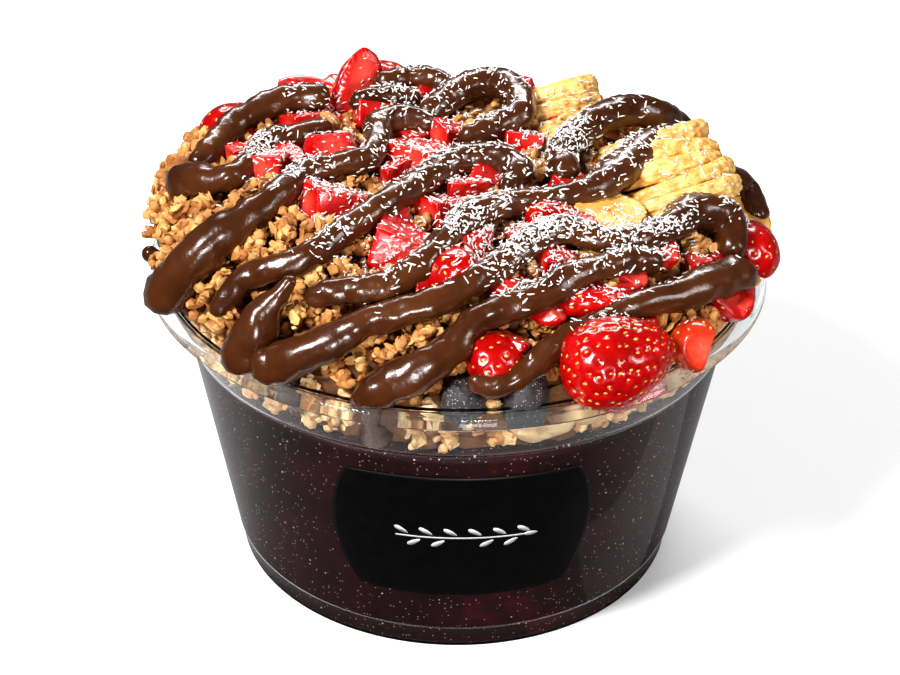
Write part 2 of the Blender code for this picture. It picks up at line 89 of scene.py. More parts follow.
# Chocolate sauce: x, y, radius of the rope, height of its middle above the mound
ROPES = {
    "back_left": [(-58, 5, 3.0, 3.5), (-56, 10, 3.2, 4), (-52, 19, 3.4, 4.5), (-46, 24, 3.4, 5),
                  (-40, 28, 3.5, 5.5), (-33, 29, 3.0, 5)],
    "left": [(-61, -1, 4.2, 4), (-55, -6, 3.6, 3.5), (-50, -7, 3.0, 3), (-47, -2, 2.6, 3),
             (-45, 4, 2.8, 3), (-41, 9, 3.2, 3), (-36, 11, 3.0, 3), (-31, 15, 2.4, 3)],
    "long_left": [(-62, -31, 4.8, 5), (-56, -31, 4.9, 5), (-51, -29, 4.4, 4.5), (-45, -26, 3.8, 4),
                  (-39, -20, 3.3, 4), (-34, -12, 3.0, 4.5), (-27, -7, 2.8, 4.5),
                  (-20, -3, 3.0, 4.5), (-18, 4, 3.2, 5), (-18, 12, 3.2, 5.5), (-13, 16, 3.0, 5.5),
                  (-8, 15, 2.6, 5)],
    "middle": [(-49, -42, 2.2, 3), (-45, -40, 2.6, 3), (-40, -40, 2.9, 3), (-34, -40, 2.9, 3),
               (-28, -37, 2.9, 3), (-22, -31, 2.9, 3.5), (-15, -24, 3.0, 4.5),
               (-9, -16, 3.0, 4.5), (-4, -8, 3.2, 4.5), (2, -3, 3.4, 4.5), (9, -3, 3.5, 4.5),
               (13, -7, 3.0, 4), (11, -13, 2.2, 3)],
    "front_left": [(-38, -55, 4.0, 3), (-32, -56, 4.1, 3.5), (-25, -56, 3.6, 3.5),
                   (-19, -54, 3.2, 3), (-12, -53, 3.0, 3), (-4, -51, 3.0, 3.5), (3, -47, 2.9, 4),
                   (10, -42, 2.9, 4.5), (16, -36, 3.0, 5), (22, -32, 3.0, 5), (29, -33, 2.8, 4.5),
                   (37, -31, 2.9, 4.5), (45, -24, 3.3, 5), (51, -16, 4.2, 5.5),
                   (58, -14, 4.2, 5.5), (59, -20, 3.4, 5)],
    "centre": [(-28, -48, 2.6, 3), (-22, -48, 2.8, 3), (-16, -48, 2.9, 3), (-11, -46, 2.9, 3.5),
               (-6, -42, 3.0, 4), (-2, -36, 3.0, 4.5), (3, -28, 3.0, 4.5), (12, -22, 2.8, 4),
               (21, -19, 2.6, 4), (29, -15, 3.0, 4.5), (35, -7, 4.2, 5), (42, 4, 4.6, 6),
               (47, 10, 4.0, 6)],
    "front": [(-18, -63, 3.4, 0), (-14, -63, 3.9, 3), (-7, -62, 4.0, 4), (-1, -59, 3.4, 4),
              (3, -55, 3.0, 4), (9, -52, 3.2, 4), (17, -49, 3.4, 4.5), (24, -44, 3.0, 5),
              (32, -39, 2.8, 5), (40, -35, 2.6, 4.5)],
    "front_right": [(4.5, -63.5, 2.3, 3.2), (8, -63.5, 2.6, 3.4), (12.5, -62, 2.4, 3.6),
                    (17, -59, 2.6, 4), (21, -56, 2.8, 4), (28, -52, 2.8, 4),
                    (36, -46, 2.8, 4), (46, -40, 3.4, 4.5), (54, -33, 4.0, 5),
                    (60, -27, 4.0, 5)],
    "crest_left": [(-17, 35, 3.0, 6), (-12, 38, 2.8, 6), (-7, 38, 2.8, 6), (-3, 36, 2.6, 5)],
    "crest_low": [(-23, 26, 2.4, 5), (-17, 28, 2.4, 5.5), (-11, 28, 2.2, 5)],
    "crest_loop": [(-7, 21, 2.8, 4.5), (-3, 26, 3.4, 5.5), (2, 31, 3.6, 6.5), (8, 33, 3.8, 7),
                   (13, 27, 3.6, 7), (14, 18, 3.4, 6), (9, 13, 3.2, 5), (3, 9, 3.0, 4)],
    "back_right": [(23, -7, 3.4, 4), (23, 1, 3.6, 5), (27, 8, 3.6, 6), (32, 14, 3.6, 7),
                   (39, 21, 3.8, 7.5), (46, 25, 3.4, 7.5), (52, 31, 3.4, 6.5)],
    "right_end": [(60, 7, 3.6, 5), (65, 10, 4.0, 5), (67, 3, 3.2, 4)],
    "peak": [(-44, -51, 4.6, 3), (-41, -50, 4.6, 4.5), (-38, -49, 2.8, 6.5), (-34, -48, 1.2, 8)],
}

# How the knife trims a strawberry: where each cut passes, in half sizes, and what it faces
CUTS = {
    "whole": [],
    "half": [((0, 0, 0.05), (0.1, 0, 1))],
    "dome": [((0, 0, -0.2), (0, 0.1, -1))],
    "dice": [((-0.6, 0, 0), (-1, 0.2, 0.1)), ((0.55, 0, 0), (1, 0.1, 0.2)),
             ((0, 0, 0.45), (0.1, 0.1, 1)), ((0, -0.6, 0), (0.1, -1, -0.2))],
    "slab": [((0, 0, 0.5), (0.1, 0, 1)), ((0, 0, -0.5), (0, 0, -1)), ((-0.7, 0, 0), (-1, 0.3, 0))],
    "chunk": [((0, -0.62, 0), (0.25, -1, 0.5)), ((0, 0, 0.5), (0.25, 0.15, 1)),
              ((-0.62, 0, 0), (-1, -0.1, 0.15))],
    "wedge": [((0, -0.05, 0), (0.25, -1, 0.15)), ((-0.75, 0, 0), (-1, 0, 0))],
}

# Strawberries: cut, length, width, height, x, y, height above the mound, yaw, pitch, roll
STRAWBERRIES = [
    ("wedge", 22, 16, 13, -23, 35, 3.5, 20, -78, 10),
    ("slab", 20, 14, 8, -37, 41, 2, 15, 0, 20),
    ("dome", 19, 15, 13, -52, 25, 2, 60, 5, -15),
    ("dice", 10, 9, 9, -50, 10, 0.5, 40, 0, 0),
    ("dice", 14, 12, 11, -42, -1, 2, 75, 10, 0),
    ("half", 12, 10, 9, -31, 29, 0.5, 10, 10, 0),
    ("chunk", 17, 15, 15, -27, 7, 1.5, 80, 10, 0),
    ("chunk", 19, 15, 13, -27, -18, 1, 20, 8, 0),
    ("slab", 17, 12, 9, -13, 36, 0.5, 10, 0, 0),
    ("dice", 20, 16, 13, -8, 2, 2.2, 65, 8, 6),
    ("dice", 16, 12, 10, 2, -11, 1, 20, 0, -10),
    ("chunk", 15, 12, 10, -3, -20, 0.5, 35, 0, 0),
    ("chunk", 18, 15, 13, -12, -34, 0.4, -15, 6, 0),
    ("dome", 14, 10, 9, 20, -24, 1, 10, 0, 0),
    ("dome", 14, 12, 12, -1, -42, 0.8, 95, 0, 0),
    ("dome", 15, 13, 12, 8, -57, -2, 15, 10, 0),
    ("slab", 22, 15, 10, 28, -42, -0.5, 12, 0, -12),
    ("whole", 26, 19, 18, 32, -57, 5.2, 22, -6, 10),
    ("wedge", 15, 11, 11, 49, -46, 2.5, 105, 20, 30),
    ("half", 20, 15, 12, 58.5, -28, 3, 62, -4, 44),
    ("dome", 18, 14, 12, 64.5, -10, 1, 80, 0, 25),
    ("dice", 9, 8, 8, 51, -27, 1, 30, 0, 0),
    ("dome", 18, 14, 13, -20, 55, 2, 160, 0, 0),
    ("half", 18, 14, 12, 38, 45, 0, -40, 0, 15),
    ("dome", 17, 14, 13, -45, 42, 0, 120, 0, 0),
]

WET_WEDGE_AT = (49, -46)  # the one wedge whose flesh is orange and very wet

# Small berry dice tucked between the sauce ropes: x, y, height above the mound, length
BERRY_DICE = [
    (6, -8, 1.2, 12), (2, -33, 1.2, 13), (15, -32, 1.4, 13), (24, -26, 1.4, 12), (11, -45, 1, 12),
    (-14, -3, 1.2, 12), (-20, 26, 2.6, 13), (-39, 3, 1.2, 11), (-24, -2, 1.4, 12),
    (-6, -44, 0.8, 11), (34, -37, 1.2, 12), (37, -46, 0.2, 11), (18, -48, 0.6, 11),
    (10, -55, -0.4, 10), (-7, 38, 3, 12), (20, -38, 1.6, 11), (42, -29, 1.6, 11),
    (29, -51, 0.2, 10), (-15, -25, 1.2, 11), (59, -31, 1, 10), (7, -3, 1.4, 11), (14, 10, 2.4, 12),
    (-2, 13, 2.4, 12), (-10, 13, 1.6, 11), (24, -10, 1.6, 11), (-36, 20, 2, 12), (-4, 30, 2.6, 11),
    (26, 22, 1.6, 12), (-30, 52, 1.5, 14), (14, 44, 1.5, 13), (52, 34, 1.2, 12), (-56, 30, 1, 10),
]

# Banana fans: slices, first x, y, height; step in x, y, height; half sizes; yaw, pitch, roll
BANANA_T = 5.0
RIM_SHARE = 0.36  # how much of a slice's mesh, from the middle up and down, is its rim
BANANA_FANS = [
    (4, 22.5, 36.5, 2.6, (0.3, -4.7, -1.7), (11.8, 11.4), 5, -16, -30),
    (5, 42.8, 12.5, 3.0, (1.3, -4.7, -1.2), (14.8, 13.0), 5, -12, -32),
    (2, 62, 9, 1.0, (1.0, -7.0, -1.0), (8.5, 7.5), -20, 24, 0),
    (2, 33, -20, 0.5, (-4.0, 7.0, -1.0), (9.0, 8.0), 40, 4, 8),
    (2, 6, 55, 0.5, (8.0, -1.0, -1.2), (12.0, 11.0), 0, 6, -26),
]

# Dark berries: length, width, height, x, y, height above the mound, yaw
DARK_BERRIES = [
    (10, 9, 9, 1.5, -61.5, -4.0, 30),
    (13, 9, 13, 14, -60.5, -3.5, 70),
]

# Coconut: x, y, spread and how many shreds land there
SHRED_KINDS = 16
WIDE_DRIFT = 30  # a wider drift than this is spread evenly
COCONUT_REACH = 67
COCONUT_DRIFTS = [
    (22, 6, 9, 360), (-14, 26, 7, 160), (6, -34, 11, 460), (18, -34, 10, 330), (34, -32, 12, 420),
    (46, -28, 8, 170), (-24, -36, 8, 130), (-44, 4, 7, 180), (-36, -6, 9, 160), (-26, -16, 9, 180),
    (-10, -2, 10, 200), (2, 20, 9, 130), (34, 2, 10, 140), (-14, -44, 9, 110), (12, -46, 10, 190),
    (-34, 28, 10, 110), (46, 4, 9, 60), (30, -50, 8, 90), (8, -6, 46, 1250), (-8, 42, 18, 130),
    (30, 36, 16, 90), (62, -12, 7, 70), (4, -18, 18, 440), (10, 50, 24, 220),
]


# ---------------------------------------------------------------- the mound and the cup wall


def mound_edge(x, y):
    """How far out the mound reaches in the direction of a point."""
    side = y / max(math.hypot(x, y), 0.001)
    set_in = FRONT_SET_IN if side < 0 else BACK_SET_IN
    return MOUND_R - set_in * side * side


def mound(x, y):
    """Height of the smooth surface that the toppings follow."""
    r = math.hypot(x, y)
    away = max(r, 0.001)
    steepness = 4.0 + 3.0 * max(0.0, -x / away) + 1.5 * max(0.0, y / away)
    out = min(r / mound_edge(x, y), 1.0)
    return MOUND_EDGE_Z + MOUND_H * (1.0 - out**steepness)


def left_bank(x, y):
    """The bare granola is banked up along the left edge."""
    turn = math.degrees(math.atan2(y, x)) % 360 - BANK_TURN
    along = max(0.0, 1.0 - (turn / BANK_SPREAD) ** 2)
    across = max(0.0, 1.0 - ((math.hypot(x, y) - BANK_R) / BANK_WIDTH) ** 2)
    return BANK_H * along * across


def granola_top(x, y):
    return mound(x, y) - GRANOLA_DROP + left_bank(x, y)


def on_mound(x, y, lift):
    return Vector((x, y, mound(x, y) + lift)) * MM


def from_front(angle, r, z):
    """A point at a radius and a height, its angle taken from the front."""
    return Vector((r * math.sin(angle), -r * math.cos(angle), z)) * MM


def outer_radius(z):
    """Outside radius of the cup's wall at a height, in millimetres."""
    step_r, step_z = SHOULDER_R - SHOULDER_STEP, SHOULDER_Z - STEP_H
    points_z = [FOOT_Z, step_z, SHOULDER_Z, RIM_Z]
    points_r = [FOOT_R, step_r, SHOULDER_R, THROAT_R + WALL]
    return np.interp(z, points_z, points_r)


def inner_radius(z):
    return outer_radius(z) - WALL


def keep_off_cup(verts, clear=0.12):
    """Pushes points (metres) off the wall's inside, and up off the flange."""
    mm = verts / MM
    r = np.hypot(mm[:, 0], mm[:, 1])
    limit = inner_radius(mm[:, 2]) - clear
    pressed = (mm[:, 2] < RIM_Z - 0.4) & (r > limit)
    mm[pressed, :2] *= (limit[pressed] / r[pressed])[:, None]
    r = np.hypot(mm[:, 0], mm[:, 1])
    resting = (r > THROAT_R - 0.6) & (mm[:, 2] < RIM_Z + clear + 0.1) & (mm[:, 2] > RIM_Z - 0.4)
    mm[resting, 2] = RIM_Z + clear + 0.1
    return mm * MM


# ---------------------------------------------------------------- meshes


def in_order(bm):
    """Puts corners, edges and faces in one fixed order, so that each run makes the same mesh."""
    def middle(element):
        corners = [vert.co for vert in element.verts]
        return sum(corners, Vector()) / len(corners)

    for row, place in ((bm.verts, lambda vert: vert.co), (bm.edges, middle), (bm.faces, middle)):
        ranked = sorted(row, key=lambda element: tuple(round(c, 6) for c in place(element)))
        for rank, element in enumerate(ranked):
            element.index = rank
        row.sort()
        row.index_update()
    return bm


def ball(segments, rings):
    """A ball of radius one, to be shaped point by point."""
    bm = bmesh.new()
    bmesh.ops.create_uvsphere(bm, u_segments=segments, v_segments=rings, radius=1.0)
    return in_order(bm)


def lump(segments, rings, size, dents, seed):
    """An uneven ball of a size in millimetres; each dent has a depth and a fineness."""
    bm = ball(segments, rings)
    for vert in bm.verts:
        swell = 1.0 + sum(depth * noise.noise(vert.co * fine + seed) for depth, fine in dents)
        vert.co = Vector([c * s / 2 * swell for c, s in zip(vert.co, size)]) * MM
    return bm


def placed(name, data):
    made = bpy.data.objects.new(name, data)
    bpy.context.scene.collection.objects.link(made)
    return made


def mesh_piece(name, bm, mat, stands_for=()):
    """Makes a finished piece of a bmesh: smooth, with its finish, on the bowl's one body."""
    mesh = bpy.data.meshes.new(name)
    bm.to_mesh(mesh)
    bm.free()
    return finished(name, mesh, mat, stands_for)


def finished(name, mesh, mat, stands_for=(), crisp=None):
    mesh.materials.append(mat)
    mesh.shade_smooth()
    if crisp:
        mesh.set_sharp_from_angle(angle=math.radians(crisp))
    piece = placed(name, mesh)
    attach(piece, "root")
    if stands_for:
        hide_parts(*stands_for)
    return piece


def pushed(piece, shape, *extra):
    """Moves all of a piece's points through a function of their places."""
    co = np.array([v.co for v in piece.data.vertices])
    piece.data.vertices.foreach_set("co", shape(co, *extra).astype(np.float32).ravel())
    piece.data.update()


def thickened(piece, thickness):
    solid = piece.modifiers.new("thickness", "SOLIDIFY")
    solid.thickness = thickness * MM
    solid.offset = 1.0


def template(bm):
    """A small shape as arrays of corners and triangles, ready to be repeated."""
    bmesh.ops.triangulate(bm, faces=bm.faces)
    bm.verts.index_update()
    corners = np.array([v.co for v in bm.verts])
    triangles = np.array([[v.index for v in f.verts] for f in bm.faces])
    bm.free()
    return corners, triangles


def joined(name, templates, places, mat, tones, shape=None, crisp=None):
    """One mesh of many copies of small shapes, each with its own tone from 0 to 1."""
    all_verts, all_tris, all_tones = [], [], []
    count = 0
    for (which, matrix), tone in zip(places, tones):
        corners, triangles = templates[which]
        m = np.array(matrix)
        all_verts.append(corners @ m[:3, :3].T + m[:3, 3])
        all_tris.append(triangles + count)
        all_tones.append(np.full(len(corners), tone))
        count += len(corners)
    verts = np.concatenate(all_verts)
    if shape:
        verts = shape(verts)
    tris = np.concatenate(all_tris)
    mesh = bpy.data.meshes.new(name)
    mesh.vertices.add(len(verts))
    mesh.vertices.foreach_set("co", verts.astype(np.float32).ravel())
    mesh.loops.add(tris.size)
    mesh.loops.foreach_set("vertex_index", tris.astype(np.int32).ravel())
    mesh.polygons.add(len(tris))
    mesh.polygons.foreach_set("loop_start", np.arange(0, tris.size, 3, dtype=np.int32))
    mesh.update(calc_edges=True)
    mesh.validate()
    float_layer(mesh, "tone", np.concatenate(all_tones))
    return finished(name, mesh, mat, (), crisp)


def surface_of(pieces):
    """A tree of the pieces' surfaces for casting rays."""
    verts, polygons = [], []
    for piece in pieces:
        start = len(verts)
        verts.extend(v.co.copy() for v in piece.data.vertices)
        polygons.extend([[i + start for i in p.vertices] for p in piece.data.polygons])
    return BVHTree.FromPolygons(verts, polygons)


def facing(up, heading):
    """A turn with Z along up and X towards the heading, or None where the two are parallel."""
    side = up.cross(heading)
    if side.length < 1e-6:
        return None
    side.normalize()
    return Matrix((side.cross(up), side, up)).transposed().to_4x4()


def roughened(bm, height, pitch, seed=0.0):
    """Moves each vertex along its normal by smooth noise; sizes in millimetres."""
    bm.normal_update()
    shift = Vector((seed, -seed, seed * 0.5))
    moves = [(v, v.normal * (height * MM * noise.noise(v.co / (pitch * MM) + shift)))
             for v in bm.verts]
    for vert, move in moves:
        vert.co += move


def float_layer(mesh, name, values):
    """Gives each point of a mesh its own value, or all of them the same one."""
    layer = mesh.attributes.new(name, "FLOAT", "POINT")
    full = np.broadcast_to(np.array(values, dtype=np.float32), len(layer.data))
    layer.data.foreach_set("value", np.ascontiguousarray(full))


# ---------------------------------------------------------------- shader groups


def node_group(name, inputs, outputs):
    group = bpy.data.node_groups.new(name, "ShaderNodeTree")
    for label, kind, value in inputs:
        socket = group.interface.new_socket(label, in_out="INPUT", socket_type=kind)
        if value is not None:
            socket.default_value = value
    for label, kind in outputs:
        group.interface.new_socket(label, in_out="OUTPUT", socket_type=kind)
    entry = group.nodes.new("NodeGroupInput")
    leave = group.nodes.new("NodeGroupOutput")
    return group, entry, leave


def mottle_group():
    """Two colours in soft patches, with a second, finer set of patches inside them."""
    inputs = [("Place", "NodeSocketVector", None), ("Scale", "NodeSocketFloat", 100.0),
              ("Dark", "NodeSocketColor", (0, 0, 0, 1)), ("Light", "NodeSocketColor", (1, 1, 1, 1)),
              ("Low", "NodeSocketFloat", 0.35), ("High", "NodeSocketFloat", 0.65)]
    outputs = [("Color", "NodeSocketColor"), ("Mask", "NodeSocketFloat")]
    group, entry, leave = node_group("mottle", inputs, outputs)
    link = group.links.new
    cloud = group.nodes.new("ShaderNodeTexNoise")
    cloud.inputs["Detail"].default_value = 6.0
    cloud.inputs["Roughness"].default_value = 0.6
    link(entry.outputs["Place"], cloud.inputs["Vector"])
    link(entry.outputs["Scale"], cloud.inputs["Scale"])
    span = group.nodes.new("ShaderNodeMapRange")
    link(cloud.outputs["Fac"], span.inputs["Value"])
    link(entry.outputs["Low"], span.inputs["From Min"])
    link(entry.outputs["High"], span.inputs["From Max"])
    mix = group.nodes.new("ShaderNodeMix")
    mix.data_type = "RGBA"
    link(span.outputs["Result"], mix.inputs["Factor"])
    link(entry.outputs["Dark"], mix.inputs["A"])
    link(entry.outputs["Light"], mix.inputs["B"])
    link(mix.outputs["Result"], leave.inputs["Color"])
    link(span.outputs["Result"], leave.inputs["Mask"])
    return group


def speck_group():
    """A mask of small scattered specks: 1 inside a speck."""
    inputs = [("Place", "NodeSocketVector", None), ("Scale", "NodeSocketFloat", 600.0),
              ("Size", "NodeSocketFloat", 0.2), ("Share", "NodeSocketFloat", 0.3)]
    group, entry, leave = node_group("specks", inputs, [("Mask", "NodeSocketFloat")])
    link = group.links.new
    cells = group.nodes.new("ShaderNodeTexVoronoi")
    link(entry.outputs["Place"], cells.inputs["Vector"])
    link(entry.outputs["Scale"], cells.inputs["Scale"])
    inside = group.nodes.new("ShaderNodeMath")
    inside.operation = "LESS_THAN"
    link(cells.outputs["Distance"], inside.inputs[0])
    link(entry.outputs["Size"], inside.inputs[1])
    split = group.nodes.new("ShaderNodeSeparateColor")
    link(cells.outputs["Color"], split.inputs["Color"])
    chosen = group.nodes.new("ShaderNodeMath")
    chosen.operation = "LESS_THAN"
    link(split.outputs["Red"], chosen.inputs[0])
    link(entry.outputs["Share"], chosen.inputs[1])
    both = group.nodes.new("ShaderNodeMath")
    both.operation = "MULTIPLY"
    link(inside.outputs[0], both.inputs[0])
    link(chosen.outputs[0], both.inputs[1])
    link(both.outputs[0], leave.inputs["Mask"])
    return group


MOTTLE = mottle_group()
SPECKS = speck_group()


class Finish:
    """A material under construction: its nodes, its Principled shader and the place vector."""

    def __init__(self, name, rough, **plain):
        self.mat = bpy.data.materials.new(name)
        self.mat.use_nodes = True
        self.tree = self.mat.node_tree
        self.shader = self.tree.nodes["Principled BSDF"]
        self.set(self.shader, {"Roughness": rough, **plain})
        self.place = self.node("TexCoord").outputs["Object"]

    @staticmethod
    def set(node, values):
        for label, value in values.items():
            node.inputs[label].default_value = value

    def node(self, kind, **values):
        made = self.tree.nodes.new("ShaderNode" + kind)
        self.set(made, values)
        return made

    def join(self, start, end):
        self.tree.links.new(start, end)

    def shared(self, group, values):
        made = self.node("Group")
        made.node_tree = group
        self.set(made, values)
        self.join(self.place, made.inputs["Place"])
        return made

    def mottled(self, scale, dark, light, low=0.35, high=0.65):
        return self.shared(MOTTLE, {"Scale": scale, "Dark": (*dark, 1), "Light": (*light, 1),
                                    "Low": low, "High": high})

    def specks(self, scale, size, share):
        return self.shared(SPECKS, {"Scale": scale, "Size": size, "Share": share}).outputs["Mask"]

    def mixed(self, factor, first, second):
        """A mix of two colours, each a socket or a plain colour."""
        mix = self.node("Mix")
        mix.data_type = "RGBA"
        self.join(factor, mix.inputs["Factor"])
        for side, colour in (("A", first), ("B", second)):
            if isinstance(colour, tuple):
                mix.inputs[side].default_value = (*colour, 1)
            else:
                self.join(colour, mix.inputs[side])
        return mix.outputs["Result"]

    def attribute(self, name):
        made = self.node("Attribute")
        made.attribute_name = name
        return made.outputs["Fac"]

    def colour(self, socket):
        self.join(socket, self.shader.inputs["Base Color"])

    def bump(self, height, depth_mm, strength=0.6):
        made = self.node("Bump", Strength=strength, Distance=depth_mm * MM)
        self.join(height, made.inputs["Height"])
        self.join(made.outputs["Normal"], self.shader.inputs["Normal"])

    def noise_height(self, scale, detail=4.0, rough=0.6):
        made = self.node("TexNoise", Scale=scale, Detail=detail, Roughness=rough)
        self.join(self.place, made.inputs["Vector"])
        return made.outputs["Fac"]


# ---------------------------------------------------------------- finishes


def clear_plastic():
    f = Finish("clear_plastic", 0.03, **{"IOR": 1.38, "Transmission Weight": 1.0,
                                         "Base Color": (0.97, 0.98, 0.98, 1)})
    f.bump(f.noise_height(60.0, 2.0), 0.05, 0.25)
    # lamps shine through the thin wall onto what is behind it
    path = f.node("LightPath")
    open_way = f.node("BsdfTransparent", Color=(0.96, 0.97, 0.97, 1))
    shader = f.shader.outputs["BSDF"]
    for kind in ("Is Diffuse Ray", "Is Shadow Ray"):
        mix = f.node("MixShader")
        f.join(path.outputs[kind], mix.inputs["Fac"])
        f.join(shader, mix.inputs[1])
        f.join(open_way.outputs["BSDF"], mix.inputs[2])
        shader = mix.outputs["Shader"]
    f.join(shader, f.tree.nodes["Material Output"].inputs["Surface"])
    return f.mat


def acai_pulp():
    f = Finish("acai_pulp", 0.55, **{"Specular IOR Level": 0.12})
    base = f.mottled(90.0, (0.004, 0.0004, 0.0007), (0.021, 0.0024, 0.0040), 0.32, 0.72)
    red = f.mottled(55.0, (0, 0, 0), (1, 1, 1), 0.60, 0.80)
    reddish = f.mixed(red.outputs["Mask"], base.outputs["Color"], (0.065, 0.005, 0.007))
    # the pale specks, fine and coarse, are painted glints: painted highlights over the dark pulp
    fine = f.mixed(f.specks(1500.0, 0.22, 0.20), reddish, (0.42, 0.28, 0.30))
    with_painted_glints = f.mixed(f.specks(560.0, 0.13, 0.20), fine, (0.55, 0.42, 0.42))
    f.colour(with_painted_glints)
    f.bump(f.noise_height(170.0, 2.0), 0.20, 0.3)
    return f.mat


def label_black():
    f = Finish("label_black", 0.42, **{"Specular IOR Level": 0.22})
    f.colour(f.mottled(300.0, (0.002, 0.002, 0.0025), (0.004, 0.004, 0.0045)).outputs["Color"])
    f.bump(f.noise_height(1800.0), 0.02, 0.3)
    return f.mat


def label_pale():
    f = Finish("label_pale", 0.45)
    f.colour(f.mottled(400.0, (0.55, 0.55, 0.56), (0.66, 0.66, 0.67)).outputs["Color"])
    return f.mat


# Oats and nuts: colour of the darkest pieces, of the lightest, and of the baked spots
TOASTS = {
    "nut_pale": ((0.52, 0.30, 0.13), (0.78, 0.58, 0.33), (0.35, 0.17, 0.07)),
    "granola_toasted": ((0.36, 0.120, 0.021), (0.86, 0.475, 0.165), (0.23, 0.068, 0.010)),
    # a lighter copy of the toasted granola, for the crumbs behind the wall: painted light
    "granola_painted_light_copy": ((0.55, 0.26, 0.085), (0.95, 0.70, 0.38), (0.36, 0.15, 0.035)),
    # a darker copy of the toasted granola, for the core between the nuggets: painted shade
    "granola_painted_shade": ((0.13, 0.045, 0.010), (0.26, 0.11, 0.028), (0.06, 0.02, 0.005)),
    "oat_pale": ((0.54, 0.26, 0.065), (0.92, 0.64, 0.28), (0.40, 0.16, 0.035)),
}


def toasted(name, scale=260.0):
    """Toasted oats and grains: each piece has its own tone, with darker baked spots."""
    dark, light, deep = TOASTS[name]
    f = Finish(name, 0.62)
    tone = f.mixed(f.attribute("tone"), dark, light)
    spots = f.mottled(scale, (0, 0, 0), (1, 1, 1), 0.50, 0.74)
    f.colour(f.mixed(spots.outputs["Mask"], tone, deep))
    f.bump(f.noise_height(1100.0, 5.0, 0.65), 0.35, 0.7)
    return f.mat


# Berries: skin's deep and bright colours, then the flesh's
BERRIES = {
    "strawberry_red": ((0.26, 0.0006, 0.001), (0.58, 0.002, 0.002), (0.48, 0.0015, 0.002),
                       (0.70, 0.014, 0.010)),
    "strawberry_wet": ((0.38, 0.012, 0.004), (0.60, 0.045, 0.010), (0.52, 0.028, 0.008),
                       (0.68, 0.085, 0.02)),
}


def berry_finish(name):
    """Red skin, and paler wet flesh with fine streaks where the knife has cut."""
    deep, bright, flesh_deep, flesh_bright = BERRIES[name]
    f = Finish(name, 0.20, **{"Coat Weight": 0.35, "Coat Roughness": 0.05,
                              "Subsurface Weight": 0.10, "Subsurface Scale": 0.004,
                              "Subsurface Radius": (0.6, 0.08, 0.05)})
    skin = f.mottled(110.0, deep, bright, 0.30, 0.70)
    flesh = f.mottled(420.0, flesh_deep, flesh_bright, 0.45, 0.74)
    heart = f.mixed(f.attribute("core"), flesh.outputs["Color"], (0.80, 0.12, 0.08))
    f.colour(f.mixed(f.attribute("cut"), skin.outputs["Color"], heart))
    f.bump(f.noise_height(900.0), 0.18, 0.5)
    return f.mat


def seed_gold():
    f = Finish("seed_gold", 0.35)
    f.colour(f.mixed(f.attribute("tone"), (0.55, 0.22, 0.03), (0.85, 0.50, 0.12)))
    return f.mat


def banana_cream():
    """Cream flesh, yellower and more see-through at the heart, fibrous on the rim."""
    f = Finish("banana_cream", 0.42, **{"Subsurface Weight": 0.15,
                                        "Subsurface Radius": (0.8, 0.5, 0.2),
                                        "Subsurface Scale": 0.003})
    rim = f.mottled(420.0, (0.60, 0.26, 0.040), (0.90, 0.60, 0.23), 0.34, 0.62)
    face = f.mottled(160.0, (0.74, 0.34, 0.055), (0.90, 0.56, 0.17), 0.32, 0.62)
    core = f.mixed(f.attribute("core"), face.outputs["Color"], (0.74, 0.33, 0.02))
    f.colour(f.mixed(f.attribute("rim"), core, rim.outputs["Color"]))
    f.bump(f.noise_height(650.0, 5.0), 0.3, 0.6)
    return f.mat


def frosted_dark():
    f = Finish("frosted_dark", 0.6)
    skin = f.mottled(300.0, (0.010, 0.008, 0.009), (0.05, 0.043, 0.044), 0.35, 0.7)
    frost = f.mixed(f.specks(2200.0, 0.30, 0.35), skin.outputs["Color"], (0.34, 0.32, 0.32))
    f.colour(frost)
    f.bump(f.noise_height(1400.0), 0.3, 0.8)
    return f.mat


def chocolate():
    f = Finish("chocolate", 0.24, **{"Specular IOR Level": 0.45, "Coat Weight": 0.18,
                                     "Coat Roughness": 0.06})
    f.colour(f.mottled(70.0, (0.046, 0.0125, 0.0032), (0.088, 0.0265, 0.0070)).outputs["Color"])
    f.bump(f.noise_height(330.0, 4.0), 0.35, 0.6)
    return f.mat


def coconut_white():
    f = Finish("coconut_white", 0.55)
    f.colour(f.mixed(f.attribute("tone"), (0.82, 0.79, 0.75), (0.97, 0.96, 0.94)))
    return f.mat


# ---------------------------------------------------------------- cup, pulp and label


def spun(profile):
    """Spins an outline of (radius, height) in millimetres about the cup's axis."""
    bm = bmesh.new()
    verts = [bm.verts.new((r * MM, 0.0, z * MM)) for r, z in profile]
    edges = [bm.edges.new(pair) for pair in zip(verts, verts[1:])]
    bmesh.ops.spin(bm, geom=verts + edges, axis=(0, 0, 1), cent=(0, 0, 0), dvec=(0, 0, 0),
                   angle=2 * math.pi, steps=SPIN_STEPS, use_merge=True, use_duplicate=False)
    bmesh.ops.remove_doubles(bm, verts=bm.verts, dist=0.000002)
    bmesh.ops.recalc_face_normals(bm, faces=bm.faces)
    return in_order(bm)


def arc(cr, cz, radius, start, end, count=5):
    """Points along a round corner, its angles in degrees from +r towards +z."""
    return [(cr + radius * math.cos(math.radians(start + (end - start) * k / (count - 1))),
             cz + radius * math.sin(math.radians(start + (end - start) * k / (count - 1))))
            for k in range(count)]


